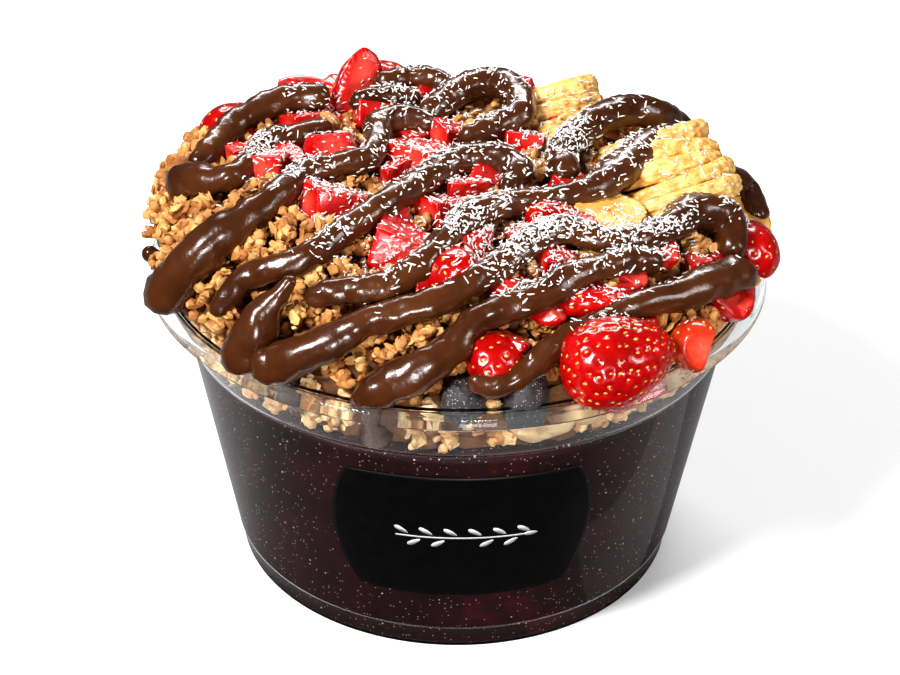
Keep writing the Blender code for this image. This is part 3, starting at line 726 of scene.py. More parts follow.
def make_cup():
    """Thin clear wall with a raised base, a stacking shoulder and a rolled-down flange."""
    step_r, step_z = SHOULDER_R - SHOULDER_STEP, SHOULDER_Z - STEP_H
    profile = [(0.0, PUNT_Z + WALL), (GROOVE_IN_R - 0.6, PUNT_Z + WALL)]
    profile += arc(GROOVE_IN_R - 0.2, PUNT_Z + WALL - 0.6, 0.6, 70, 20, 3)
    profile += [(GROOVE_IN_R + 1.9, WALL + 0.35), (GROOVE_IN_R + 2.4, WALL)]
    profile += arc(GROOVE_OUT_R - 1.7, WALL + 0.9, 0.9, -90, -12)
    profile += [(GROOVE_OUT_R - 0.45, FOOT_Z - 1.4)]
    profile += arc(FOOT_R - WALL - 0.45, FOOT_Z - 0.4, 0.45, -30, 10, 3)
    profile += [(step_r - WALL, step_z - 0.2), (step_r - WALL + 0.12, step_z + 0.1),
                (SHOULDER_R - WALL - 0.1, SHOULDER_Z - 0.1), (SHOULDER_R - WALL, SHOULDER_Z + 0.25)]
    profile += [(THROAT_R - 0.25, RIM_Z - 1.1)]
    profile += [(THROAT_R - 0.02, RIM_Z - 0.25), (THROAT_R + 0.25, RIM_Z)]
    profile += [(THROAT_R + 1.7, RIM_Z - 0.12)]
    profile += arc(RIM_R - 0.9, RIM_Z - 0.85, 0.6, 80, 8, 4)
    profile += [(RIM_R - 0.04, LIP_Z + 0.25), (RIM_R - 0.15, LIP_Z), (RIM_R - 0.5, LIP_Z),
                (RIM_R - 0.62, LIP_Z + 0.2)]
    profile += arc(RIM_R - 1.35, RIM_Z - 1.35, 0.45, 10, 80, 4)
    profile += [(THROAT_R + 1.7, RIM_Z - 0.75), (THROAT_R + 0.75, RIM_Z - 0.8),
                (THROAT_R + 0.45, RIM_Z - 1.4)]
    profile += [(SHOULDER_R, SHOULDER_Z + 0.25), (SHOULDER_R - 0.1, SHOULDER_Z - 0.15),
                (step_r + 0.12, step_z + 0.1), (step_r, step_z - 0.2)]
    profile += arc(FOOT_R - 0.35, FOOT_Z - 0.2, 0.35, 10, -40, 3)
    profile += [(GROOVE_OUT_R + 0.25, FOOT_Z - 1.3), (GROOVE_OUT_R, 1.0)]
    profile += arc(GROOVE_OUT_R - 0.9, 0.9, 0.9, -8, -90, 4)
    profile += [(GROOVE_IN_R + 1.9, 0.0), (GROOVE_IN_R + 1.3, 0.3)]
    profile += [(GROOVE_IN_R + 0.1, PUNT_Z - 0.4), (GROOVE_IN_R - 0.5, PUNT_Z), (0.0, PUNT_Z)]
    return mesh_piece("cup_clear", spun(profile), clear_plastic(), ["cup"])


def make_pulp():
    """The pulp reaches a little way into the wall and fills the foot's groove."""
    into = INTO_WALL
    level_r = SHOULDER_R - SHOULDER_STEP - WALL + into
    profile = [(0.0, PULP_Z - 0.6)]
    profile += [(level_r * share, PULP_Z - 0.6) for share in (0.3, 0.6, 0.85, 0.95)]
    profile += [(level_r - 0.5, PULP_Z - 0.6), (level_r, PULP_Z - 1.0)]
    rows = 26
    for k in range(1, rows):
        z = PULP_Z - 1.0 - (PULP_Z - 1.0 - FOOT_Z) * k / rows
        profile.append((float(inner_radius(z)) + into, z))
    profile += [(FOOT_R - WALL + into, FOOT_Z), (GROOVE_OUT_R - 0.45 + into, FOOT_Z - 1.4)]
    profile += arc(GROOVE_OUT_R - 1.7, WALL + 0.9, 0.9 + into, -12, -90)
    profile += [(GROOVE_IN_R + 2.4, WALL - into), (GROOVE_IN_R + 1.8, WALL + 0.2),
                (GROOVE_IN_R - 0.2, PUNT_Z + WALL - 0.2), (GROOVE_IN_R - 0.9, PUNT_Z + WALL - into),
                (0.0, PUNT_Z + WALL - into)]
    bm = spun(profile)
    for vert in bm.verts:  # an uneven top edge, hidden in places by the granola
        if vert.co.z > (PULP_Z - 1.2) * MM:
            vert.co.z += 0.5 * MM * noise.noise(vert.co / (9 * MM))
    return mesh_piece("acai_fill", bm, acai_pulp(), ["acai"])


def on_wall(angle, z, out):
    """A point on the wall's outside, a little way out."""
    return from_front(angle, float(outer_radius(z)) + out, z)


def make_label():
    """A film with bulging ends, bent round the front, and a plain sprig on it."""
    bm = bmesh.new()
    bmesh.ops.create_grid(bm, x_segments=72, y_segments=40, size=1.0)
    middle = (LABEL_LOW_Z + LABEL_HIGH_Z) / 2
    half_height = (LABEL_HIGH_Z - LABEL_LOW_Z) / 2
    for vert in bm.verts:
        across, up = vert.co.x, vert.co.y
        reach = math.cos(up * math.radians(32.0)) * (1.0 - 0.02 * up**12)
        height = half_height * (1.0 - 0.03 * across**4)
        angle = LABEL_TURN + across * reach * LABEL_HALF_ANGLE
        vert.co = on_wall(angle, middle + up * height, 0.06)
    bmesh.ops.recalc_face_normals(bm, faces=bm.faces)
    bm.faces.ensure_lookup_table()
    if bm.faces[0].normal.y > 0:
        bmesh.ops.reverse_faces(bm, faces=bm.faces)
    thickened(mesh_piece("label_film", bm, label_black(), ["label"]), 0.08)

    bm = bmesh.new()
    leaves = []
    spread = math.radians(13.0)
    for k in range(-5, 6):  # leaves on both sides of a stem
        if k == 0:
            continue
        side = 1 if k % 2 else -1
        leaves.append((k / 5 * spread, side * 1.7, side * 32 + 90, 3.4, 1.15))
    leaves.append((spread * 1.13, 0.0, 90, 3.0, 1.1))
    for angle, lift, turn, length, width in leaves:
        flat = bmesh.ops.create_circle(bm, cap_ends=True, segments=20, radius=1.0)
        slope = math.radians(turn)
        for vert in flat["verts"]:
            along, across = vert.co.y * length / 2, vert.co.x * width / 2 * (1 - 0.3 * vert.co.y)
            dx = along * math.sin(slope) + across * math.cos(slope)
            dz = along * math.cos(slope) - across * math.sin(slope)
            z = middle + lift + dz
            r = float(outer_radius(z))
            vert.co = on_wall(LABEL_TURN + angle + dx / r, z, 0.17)
    stem = bmesh.ops.create_grid(bm, x_segments=40, y_segments=1, size=1.0)
    for vert in stem["verts"]:
        z = middle + vert.co.y * 0.22
        vert.co = on_wall(LABEL_TURN + vert.co.x * spread * 1.1, z, 0.17)
    bmesh.ops.recalc_face_normals(bm, faces=bm.faces)
    for face in bm.faces:
        face.normal_update()
        if face.normal.y > 0:
            face.normal_flip()
    thickened(mesh_piece("label_sprig", bm, label_pale()), 0.05)


# ---------------------------------------------------------------- fruit


def placement(at, yaw, pitch, roll):
    turn = Euler([math.radians(a) for a in (roll, pitch, yaw)], "XYZ").to_matrix().to_4x4()
    return Matrix.Translation(at) @ turn


def trimmed(point, knives):
    """Where a point of the berry ends up after the knife, and how much of it is cut face."""
    cut_face = 0.0
    for place, normal in knives:
        past = (point - place).dot(normal)
        if past > 0:
            reach = point.dot(normal)
            share = place.dot(normal) / reach if reach > 1e-9 else 1.0
            point = point * max(0.02, share)
            cut_face = 1.0
    return point, cut_face


def berry_point(direction, half):
    """A point on a heart-shaped berry whose tip is towards +X."""
    taper = 1.0 - 0.22 * direction.x
    shoulder = 1.0 - 0.10 * max(0.0, -direction.x - 0.75) / 0.25
    return Vector((direction.x * half.x * shoulder, direction.y * taper * half.y,
                   direction.z * taper * half.z))


def seed_directions(count, rng):
    """Evenly spread directions with a little disorder, the poles along X."""
    golden = math.pi * (3 - math.sqrt(5))
    found = []
    for k in range(count):
        x = 1 - 2 * (k + 0.5) / count + rng.uniform(-0.02, 0.02)
        x = max(-0.98, min(0.98, x))
        ring = math.sqrt(1 - x * x)
        angle = golden * k + rng.uniform(-0.12, 0.12)
        found.append(Vector((x, ring * math.cos(angle), ring * math.sin(angle))))
    return found


def make_strawberry(name, number, row, mat, seed_places, rng, node=None):
    """One cut berry, with a pit under every seed that the knife has left."""
    kind, length, width, height, x, y, lift, yaw, pitch, roll = row
    half = Vector((length, width, height)) / 2
    knives = [(Vector([p * h for p, h in zip(place, half)]), Vector(facing).normalized())
              for place, facing in CUTS[kind]]
    whole = kind == "whole"
    bm = ball(*((176, 120) if whole else (104, 64) if node else (64, 40)))
    bmesh.ops.rotate(bm, verts=bm.verts, matrix=Matrix.Rotation(math.radians(90), 3, "Y"))
    count = int(10 * (half.x * half.y) ** 0.5 * (1.9 if whole else 1.0))
    seeds = []
    for direction in seed_directions(count, rng):
        point = berry_point(direction, half)
        if all((point - place).dot(normal) < -0.6 for place, normal in knives):
            seeds.append((point, direction))
    pits = KDTree(len(seeds) or 1)
    for k, (point, _) in enumerate(seeds):
        pits.insert(point, k)
    pits.balance()
    cut_values, core_values = [], []
    bulge_seed = Vector((number * 3.1, number * 1.7, 0.0))
    for vert in bm.verts:
        direction = vert.co.normalized()
        point = berry_point(direction, half)
        point *= 1.0 + 0.035 * noise.noise(direction * 1.6 + bulge_seed)
        point, cut_face = trimmed(point, knives)
        if cut_face:
            away = math.hypot(point.y / half.y, point.z / half.z)
            core_values.append(max(0.0, 0.75 - 1.1 * away))
            point += Vector((0.12, 0.12, 0.12)) * noise.noise(point * 1.1 + bulge_seed)
        else:
            core_values.append(0.0)
            if seeds:
                _, _, distance = pits.find(point)
                depth = 0.42 if whole else 0.30
                point -= direction * depth * math.exp(-((distance / 0.75) ** 2))
        cut_values.append(cut_face)
        vert.co = point * MM
    place = placement(on_mound(x, y, lift), yaw, pitch, roll)
    bmesh.ops.transform(bm, matrix=place, verts=bm.verts)
    bmesh.ops.smooth_vert(bm, verts=bm.verts, factor=0.4, use_axis_x=True, use_axis_y=True,
                          use_axis_z=True)
    piece = mesh_piece(name, bm, mat, [node] if node else ())
    pushed(piece, off_rim)
    float_layer(piece.data, "cut", cut_values)
    float_layer(piece.data, "core", core_values)
    for point, direction in seeds:
        turn = facing(direction, Vector((1, 0, 0)))
        sunk = (point - direction * (0.34 if whole else 0.24)) * MM
        size = rng.uniform(0.70, 0.95)
        seed_places.append((0, place @ Matrix.Translation(sunk) @ turn @ Matrix.Scale(size, 4)))
    return piece


def off_rim(co):
    """Lifts points of a piece that leans over the rim clear of the flange."""
    mm = co / MM
    r = np.hypot(mm[:, 0], mm[:, 1])
    inside = (r > THROAT_R - 0.9) & (r < RIM_R + 0.2) & (mm[:, 2] < RIM_Z + 0.15)
    inside &= mm[:, 2] > LIP_Z - 4.0
    mm[inside, 2] = RIM_Z + 0.15
    return mm * MM


def make_strawberries(mat, wet):
    rng = random.Random(11)
    seed_places = []
    pieces = []
    for k, row in enumerate(STRAWBERRIES, 1):
        worn = wet if row[4:6] == WET_WEDGE_AT else mat
        name, node = f"berry_{k:02d}", f"strawberry_{k:02d}"
        pieces.append(make_strawberry(name, k, row, worn, seed_places, rng, node))
    for k, (x, y, lift, length) in enumerate(BERRY_DICE, 1):
        kind = "chunk" if k % 3 else "dice"
        row = (kind, length, length * 0.85, length * 0.75, x, y, lift, rng.uniform(-60, 60),
               rng.uniform(-15, 15), rng.uniform(-25, 25))
        pieces.append(make_strawberry(f"berry_dice_{k:02d}", k + 40, row, mat, seed_places, rng))
    bm = ball(6, 4)
    bmesh.ops.scale(bm, vec=(0.62 * MM, 0.36 * MM, 0.20 * MM), verts=bm.verts)
    tones = [rng.random() for _ in seed_places]
    joined("strawberry_seeds", [template(bm)], seed_places, seed_gold(), tones)
    return pieces


def make_banana(number, halves, at, yaw, pitch, roll, mat):
    """A slice with flat faces and a fibrous, slightly ragged rim."""
    bm = ball(150, 44)
    rim_values, core_values = [], []
    half_t = BANANA_T / 2
    shift = Vector((number * 2.3, 0.0, number * 1.1))
    for vert in bm.verts:
        angle = math.atan2(vert.co.y, vert.co.x)
        level = math.asin(max(-1.0, min(1.0, vert.co.z))) / (math.pi / 2)
        above = 1 if level > 0 else -1
        side = max(0.0, 1.0 - abs(level) / RIM_SHARE)
        if abs(level) < RIM_SHARE:
            radial = 1.0 - 0.09 * (abs(level) / RIM_SHARE) ** 3
            z = half_t * level / RIM_SHARE
        else:
            radial = 0.91 * (1.0 - (abs(level) - RIM_SHARE) / (1.0 - RIM_SHARE))
            z = half_t * above
        lobe = 1.0 + 0.035 * math.cos(3 * angle)
        x = radial * lobe * halves[0] * math.cos(angle)
        y = radial * lobe * halves[1] * math.sin(angle)
        comb = noise.noise(Vector((angle * halves[0] * 1.3, z * 0.35, number * 5.0)))
        ragged = noise.noise(Vector((angle * halves[0] * 0.45, z * 1.6, number * 9.0)))
        dish = 0.0
        if side > 0:
            fray = 0.50 * comb + 0.80 * ragged - 0.45
            x += math.cos(angle) * fray
            y += math.sin(angle) * fray
        else:
            dish = -0.22 * math.exp(-((radial / 0.30) ** 2))
        grain = 0.22 * noise.noise(Vector((x * 0.9, y * 0.9, 0)) + shift)
        z += (dish + grain) * above
        rim_values.append(min(1.0, side * 2.5))
        core_values.append(math.exp(-((radial / 0.32) ** 2)))
        vert.co = Vector((x, y, z)) * MM
    bmesh.ops.transform(bm, matrix=placement(at, yaw, pitch, roll), verts=bm.verts)
    piece = mesh_piece(f"slice_{number:02d}", bm, mat, [f"banana_{number:02d}"])
    pushed(piece, off_rim)
    float_layer(piece.data, "rim", rim_values)
    float_layer(piece.data, "core", core_values)
    return piece


def make_bananas():
    mat = banana_cream()
    rng = random.Random(3)
    pieces = []
    number = 0
    for count, x, y, lift, step, halves, yaw, pitch, roll in BANANA_FANS:
        for k in range(count):
            number += 1
            at = on_mound(x, y, lift) + Vector(step) * k * MM
            at += Vector((rng.uniform(-0.9, 0.9), rng.uniform(-0.5, 0.5), 0)) * MM
            turn = yaw + rng.uniform(-16, 16)
            lean = roll + rng.uniform(-3, 3)
            sizes = (halves[0] * rng.uniform(0.93, 1.0), halves[1] * rng.uniform(0.94, 1.0))
            pitched = pitch + rng.uniform(-4, 2)
            pieces.append(make_banana(number, sizes, at, turn, pitched, lean, mat))
    return pieces


def make_dark_berries():
    mat = frosted_dark()
    pieces = []
    for number, (length, width, height, x, y, lift, yaw) in enumerate(DARK_BERRIES, 1):
        size = (length, width, height)
        bm = lump(64, 44, size, ((0.10, 1.8), (0.04, 6.0)), Vector((x, y, 0.0)))
        bmesh.ops.transform(bm, matrix=placement(on_mound(x, y, lift), yaw, 0, 0), verts=bm.verts)
        roughened(bm, 0.18, 0.9, number)
        node = f"dark_berry_{number}"
        piece = mesh_piece(f"frosted_{number}", bm, mat, [node])
        pushed(piece, keep_off_cup)
        pieces.append(piece)
    return pieces


# ---------------------------------------------------------------- sauce


def smooth_route(points, parts):
    """Points along a smooth curve through the given ones (any number of values each)."""
    rows = [np.array(p, float) for p in points]
    padded = [2 * rows[0] - rows[1], *rows, 2 * rows[-1] - rows[-2]]
    out = []
    for k in range(1, len(padded) - 2):
        p0, p1, p2, p3 = padded[k - 1 : k + 3]
        for part in range(parts):
            t = part / parts
            out.append(0.5 * (2 * p1 + (p2 - p0) * t + (2 * p0 - 5 * p1 + 4 * p2 - p3) * t**2
                              + (3 * p1 - p0 - 3 * p2 + p3) * t**3))
    out.append(rows[-1])
    return out


def rope_bmesh(centres, radii):
    """A tube with round ends along centres (metres) with radii (millimetres)."""
    lead = (centres[0] - centres[1]).normalized()
    tail = (centres[-1] - centres[-2]).normalized()
    caps = [math.sin(math.radians(a)) for a in (18, 36, 54, 70, 82, 89)]

    def rounded(centre, ahead, radius):
        return [(centre + ahead * radius * s * MM, radius * math.sqrt(1 - s * s)) for s in caps]

    start, end = rounded(centres[0], lead, radii[0]), rounded(centres[-1], tail, radii[-1])
    rings = start[::-1] + list(zip(centres, radii)) + end
    curve = bpy.data.curves.new("rope", "CURVE")
    curve.dimensions = "3D"
    curve.bevel_depth = 1.0
    curve.bevel_resolution = 8
    curve.use_fill_caps = True
    spline = curve.splines.new("POLY")
    spline.points.add(len(rings) - 1)
    for point, (centre, radius) in zip(spline.points, rings):
        point.co = (*centre, 1.0)
        point.radius = radius * MM
    guide = placed("rope_guide", curve)
    depsgraph = bpy.context.evaluated_depsgraph_get()
    mesh = bpy.data.meshes.new_from_object(guide.evaluated_get(depsgraph))
    bpy.data.objects.remove(guide)
    bm = bmesh.new()
    bm.from_mesh(mesh)
    bpy.data.meshes.remove(mesh)
    bmesh.ops.remove_doubles(bm, verts=bm.verts, dist=0.000005)
    bmesh.ops.recalc_face_normals(bm, faces=bm.faces)
    return bm


def make_rope(name, route, mat, number):
    points = smooth_route(route, 7)
    centres = [on_mound(p[0], p[1], p[3]) for p in points]
    radii = []
    for k, p in enumerate(points):
        swell = noise.noise(Vector((k * 0.16, number * 4.0, 0.0)))
        radii.append(p[2] * (1.0 + 0.10 * swell))
    bm = rope_bmesh(centres, radii)
    for vert in bm.verts:  # the sauce slumps: it is wider low down
        if vert.normal.z < -0.2:
            vert.co += Vector((vert.normal.x, vert.normal.y, 0.0)) * 0.35 * MM
    roughened(bm, 0.60, 3.6, number)
    roughened(bm, 0.34, 1.8, number + 3)
    piece = mesh_piece(f"chocolate_{name}", bm, mat, [f"sauce_{name}"])
    pushed(piece, off_rim)
    return piece


def make_drips(mat):
    """Sauce that has run down between the granola and the wall, and one drop on the left."""
    runs = {  # angle from the front, height, how far in from the wall, radius
        "run_front": [(-15.5, 74.5, 3.6, 3.4), (-16.0, 70.5, 2.8, 2.4), (-16.2, 66.5, 2.4, 1.9),
                      (-16.4, 63.0, 3.2, 2.7), (-16.4, 60.6, 3.7, 3.5)],
        "run_left": [(-35.0, 74.5, 3.8, 3.5), (-34.0, 71.0, 3.6, 3.2), (-33.5, 67.5, 3.4, 2.6),
                     (-33.0, 65.0, 2.8, 2.0)],
    }
    pieces = []
    for number, (name, rows) in enumerate(runs.items(), 1):
        points = smooth_route(rows, 5)
        centres = [from_front(math.radians(angle), float(inner_radius(z)) - inset, z)
                   for angle, z, inset, _ in points]
        bm = rope_bmesh(centres, [p[3] for p in points])
        roughened(bm, 0.2, 2.5, number)
        piece = mesh_piece(f"chocolate_{name}", bm, mat)
        pushed(piece, keep_off_cup, 0.05)
        pieces.append(piece)
    centres = [Vector((-66.6, -9.0, 75.6)) * MM, Vector((-68.6, -8.6, 76.2)) * MM]
    bm = rope_bmesh(centres, [1.3, 1.9])
    pieces.append(mesh_piece("chocolate_drop", bm, mat))
    return pieces


def make_sauce():
    mat = chocolate()
    pieces = [make_rope(name, route, mat, k) for k, (name, route) in enumerate(ROPES.items())]
    return pieces + make_drips(mat)


# ---------------------------------------------------------------- granola


def core_ring(ring, around):
    """Radius and height of the core's outline at a ring, 0 under it to 20 on its top."""
    cos_a, sin_a = math.cos(around), math.sin(around)
    edge = mound_edge(cos_a, sin_a) - CORE_SET_IN
    floor_r = SHOULDER_R - WALL - 1.0 - CORE_SET_IN
    floor_z = PULP_Z - 0.8
    throat = THROAT_R - 0.7 - CORE_SET_IN
    rise = min(1.0, max(0.0, (edge - throat + 0.5) / 0.7))
    lip_z = MOUND_EDGE_Z - 2.0 + rise * 2.6
    if ring <= 5:
        return floor_r * ring / 5, floor_z
    if ring <= 8:
        share = (ring - 5) / 3
        return floor_r + share * (throat - floor_r), floor_z + share * (lip_z - floor_z)
    if ring <= 9:
        return throat + (ring - 8) * 0.6 * max(0.0, edge - throat), lip_z + (ring - 8) * 0.3
    if ring < 10:
        share = ring - 9
        reach = throat + (0.6 + 0.4 * share) * max(0.0, edge - throat)
        return reach, lip_z + 0.3 + share * 0.6
    r = edge * (1.0 - ((ring - 10) / 10) ** 1.1)
    x, y = r * cos_a, r * sin_a
    return r, max(granola_top(x, y) - CORE_SET_IN, lip_z + 0.4)


def make_granola_core(mat):
    bm = ball(200, 160)
    for vert in bm.verts:
        around = math.atan2(vert.co.y, vert.co.x)
        ring = 10 + 10 * math.asin(max(-1.0, min(1.0, vert.co.z))) / (math.pi / 2)
        r, z = core_ring(ring, around)
        vert.co = Vector((r * math.cos(around), r * math.sin(around), z)) * MM
    roughened(bm, 2.2, 3.4, 1.0)
    roughened(bm, 0.7, 1.3, 2.0)
    # the core wears the darker copy of the granola with a low tone: painted shade in the gaps
    # between the nuggets
    piece = mesh_piece("granola_core", bm, mat, ["granola"])
    pushed(piece, keep_off_cup, 0.4)
    float_layer(piece.data, "tone", 0.2)
    return piece


CRISP_DEG = 42  # edges of the crumbs sharper than this stay crisp


def crumb_template(rng, flat):
    """One crumb: an angular lump of baked grain, or a thin curled oat flake."""
    if flat:
        bm = ball(8, 4)
        half = (rng.uniform(1.4, 2.0), rng.uniform(0.9, 1.3), 0.30)
    else:
        bm = bmesh.new()
        bmesh.ops.create_icosphere(bm, subdivisions=2 if rng.random() < 0.3 else 1, radius=1.0)
        half = (rng.uniform(1.1, 1.45), rng.uniform(0.95, 1.2), rng.uniform(0.8, 1.0))
    seed = rng.uniform(0, 50)
    for vert in bm.verts:
        push = 1.0 + 0.42 * noise.noise(vert.co * 1.3 + Vector((seed, seed, 0.0)))
        x, y, z = vert.co * push
        curl = 0.30 * x * x - 0.22 * math.exp(-((y / 0.25) ** 2)) if flat else 0.0
        vert.co = Vector((x * half[0], y * half[1], z * half[2] + curl)) * MM
    return template(bm)


def random_turn(rng):
    return Euler([rng.uniform(0, 6.28) for _ in range(3)]).to_matrix()


def heap_places(rng, spacing, reach):
    """Points over the heap on a disordered grid, out to a share of its edge."""
    steps = int(2 * MOUND_R / spacing)
    found = []
    for i in range(steps + 1):
        for j in range(steps + 1):
            x = -MOUND_R + (i + rng.uniform(-0.45, 0.45)) * spacing
            y = -MOUND_R + (j + (i % 2) * 0.5 + rng.uniform(-0.45, 0.45)) * spacing
            if math.hypot(x, y) < mound_edge(x, y) * reach:
                found.append((x, y))
    return found


def settled(tree, point, gap, drop=4.0):
    """A point (millimetres) sunk until it is clear of the toppings by a gap, or None."""
    sunk = 0.0
    while sunk <= drop:
        at = Vector((point.x, point.y, point.z - sunk)) * MM
        near, normal, _, distance = tree.find_nearest(at)
        if (at - near).dot(normal) > 0 and (distance > gap * MM or
                                            (normal.z < 0.35 and distance > 0.45 * gap * MM)):
            return at / MM
        sunk += 1.0
    return None


class Crumbs:
    """Crumbs gathered into nuggets, to be joined into one mesh."""

    LUMPS = 7
    FLAKES = 6

    def __init__(self, seed):
        self.rng = random.Random(seed)
        self.templates = [crumb_template(self.rng, False) for _ in range(self.LUMPS)]
        self.templates += [crumb_template(self.rng, True) for _ in range(self.FLAKES)]
        self.places = []
        self.tones = []

    def add(self, which, at, turn, size, tone):
        matrix = Matrix.Translation(at * MM) @ turn.to_4x4() @ Matrix.Scale(size, 4)
        self.places.append((which, matrix))
        self.tones.append(min(1.0, max(0.0, tone)))

    def nugget(self, centre, radius, flakes=0.45, below=True):
        """A knot of crumbs: one in the middle and a shell of others round it."""
        rng = self.rng
        tone = rng.gauss(0.5, 0.2)
        self.add(rng.randrange(self.LUMPS), centre, random_turn(rng), radius * 0.62, tone - 0.2)
        for _ in range(int(4 + radius * 2.2)):
            way = Vector((rng.gauss(0, 1), rng.gauss(0, 1), rng.gauss(0.25, 1))).normalized()
            if not below and way.z < -0.2:
                way.z = -way.z
            at = centre + way * radius * rng.uniform(0.55, 0.85)
            shade = tone + rng.gauss(0.05, 0.2)
            if rng.random() < flakes:
                up = way + Vector([rng.gauss(0, 0.5) for _ in range(3)])
                turn = up.to_track_quat("Z", "Y").to_matrix()
                turn = turn @ Matrix.Rotation(rng.uniform(0, 6.28), 3, "Z")
                size = rng.uniform(0.65, 1.0)
                self.add(self.LUMPS + rng.randrange(self.FLAKES), at, turn, size, shade + 0.12)
            else:
                size = rng.uniform(0.7, 1.15) * (0.6 + radius * 0.14)
                self.add(rng.randrange(self.LUMPS), at, random_turn(rng), size, shade)

    def piece(self, name, mat):
        return joined(name, self.templates, self.places, mat, self.tones,
                      keep_off_cup, CRISP_DEG)


def make_clusters(toppings, mat, painted_light_mat):
    """Nuggets over the heap, as large as there is room for between the toppings."""
    halves = [Crumbs(5), Crumbs(15)]
    rng = random.Random(25)
    for x, y in heap_places(rng, 4.3, 0.97):
        z = mound(x, y) + left_bank(x, y) - 0.3 + rng.uniform(-1.4, 1.4)
        for radius in (rng.uniform(2.2, 3.7), 1.9, 1.3):
            at = settled(toppings, Vector((x, y, z)), radius * 0.9, 3.0)
            if at is not None:
                halves[y > 4].nugget(at, radius, below=False)
                break
    for _ in range(80):  # the bank of larger, rounder nuggets along the left edge
        angle = math.radians(BANK_TURN + rng.uniform(-32, 36))
        r = rng.uniform(55, 67.0)
        x, y = r * math.cos(angle), r * math.sin(angle)
        radius = rng.uniform(2.8, 4.2)
        z = max(granola_top(x, y) + rng.uniform(-1.6, 0.8), RIM_Z + 2.6 if r > 62 else 0)
        at = settled(toppings, Vector((x, y, z)), radius * 0.8, 2.0)
        if at is not None:
            halves[y > 4].nugget(at, radius, flakes=0.15)
    front = halves[0].piece("granola_front", mat)
    back = halves[1].piece("granola_back", mat)

    # the crumbs behind the wall wear the lighter copy of the granola: painted light
    band = Crumbs(6)
    rng = band.rng
    for z_row, count in ((61.8, 60), (65.4, 62), (69.0, 64), (72.4, 64)):
        for k in range(count):
            angle = 2 * math.pi * (k + rng.uniform(-0.4, 0.4)) / count
            z = z_row + rng.uniform(-1.2, 1.2)
            radius = rng.uniform(1.8, 3.2)
            r = float(inner_radius(z)) - radius * rng.uniform(1.15, 1.4)
            at = settled(toppings, Vector((r * math.cos(angle), r * math.sin(angle), z)), 0.9, 0)
            if at is not None:
                band.nugget(at, radius, flakes=0.35)
    return [front, back, band.piece("granola_at_wall", painted_light_mat)]


def make_rubble(toppings, core, mat):
    """Small crumbs all over the core, wherever it could show."""
    rubble = Crumbs(7)
    rng = rubble.rng
    under = surface_of([core])
    for x, y in heap_places(rng, 2.7, 0.985):
        start = Vector((x, y, 130.0)) * MM
        hit, normal, _, _ = under.ray_cast(start, Vector((0, 0, -1)))
        if hit is None:
            continue
        at = settled(toppings, hit / MM + normal * 0.3, 0.5, 0)
        if at is not None:
            size = rng.uniform(0.9, 1.5)
            rubble.add(rng.randrange(rubble.LUMPS), at, random_turn(rng), size, rng.random() * 0.7)
    return rubble.piece("granola_rubble", mat)


def make_flakes(toppings, mat):
    """Loose flakes and crumbs lying on the nuggets."""
    loose = Crumbs(8)
    rng = loose.rng
    for x, y in heap_places(rng, 4.4, 0.965):
        z = granola_top(x, y) + rng.uniform(0.8, 2.6)
        at = settled(toppings, Vector((x, y, z)), 0.6, 2.0)
        if at is None:
            continue
        turn = Euler((rng.gauss(0, 0.7), rng.gauss(0, 0.7), rng.uniform(0, 6.3))).to_matrix()
        if rng.random() < 0.55:
            which = loose.LUMPS + rng.randrange(loose.FLAKES)
            loose.add(which, at, turn, rng.uniform(0.6, 0.95), rng.random())
        else:
            loose.add(rng.randrange(loose.LUMPS), at, turn, rng.uniform(0.35, 0.7), rng.random())
    return loose.piece("loose_flakes", mat)


# Bits seen through the wall: kind, angle from the front, height, length, width, depth, turn
WALL_BITS = [
    ("nut", 15.5, 63.6, 9, 5.5, 5, 10), ("nut", 20, 64.8, 9.5, 6, 5, -15),
    ("nut", 25, 66.4, 9, 6, 5, 20), ("berry", 34, 67.5, 10, 7, 5, 20),
    ("berry", 40, 69.5, 8, 6, 5, -20), ("nut", 45, 70.0, 6.5, 4.5, 4, 60),
    ("berry", 49, 70.6, 7, 5, 4, 10),
    ("nut", 150, 66, 9, 6, 5, 0), ("berry", 172, 68, 9, 7, 5, 10), ("nut", 250, 65, 8, 6, 5, 20),
]


def make_wall_bits(nut_mat, berry_mat):
    pieces = []
    for number, (kind, turn, z, length, width, depth, tilt) in enumerate(WALL_BITS, 1):
        seed = Vector((number * 3.7, 0.0, number * 1.3))
        bm = lump(40, 26, (length, depth, width), ((0.15, 1.5), (0.03, 5.0)), seed)
        r = float(inner_radius(z)) - depth / 2 - 0.5
        spin = Matrix.Rotation(math.radians(tilt), 4, "Y")
        face = Matrix.Rotation(math.radians(turn), 4, "Z")
        place = face @ Matrix.Translation(Vector((0, -r, z)) * MM) @ spin
        bmesh.ops.transform(bm, matrix=place, verts=bm.verts)
        mat, slot = (nut_mat, "toasted_oats") if kind == "nut" else (berry_mat, "strawberry_flesh")
        piece = mesh_piece(f"{kind}_bit_{number:02d}", bm, mat)
        pushed(piece, keep_off_cup, 0.05)
        float_layer(piece.data, "tone", 0.4 + 0.5 * (number % 3) / 2)
        if kind == "berry":
            float_layer(piece.data, "cut", 1.0)
            float_layer(piece.data, "core", 0.1)
        pieces.append(piece)
    return pieces


# ---------------------------------------------------------------- coconut


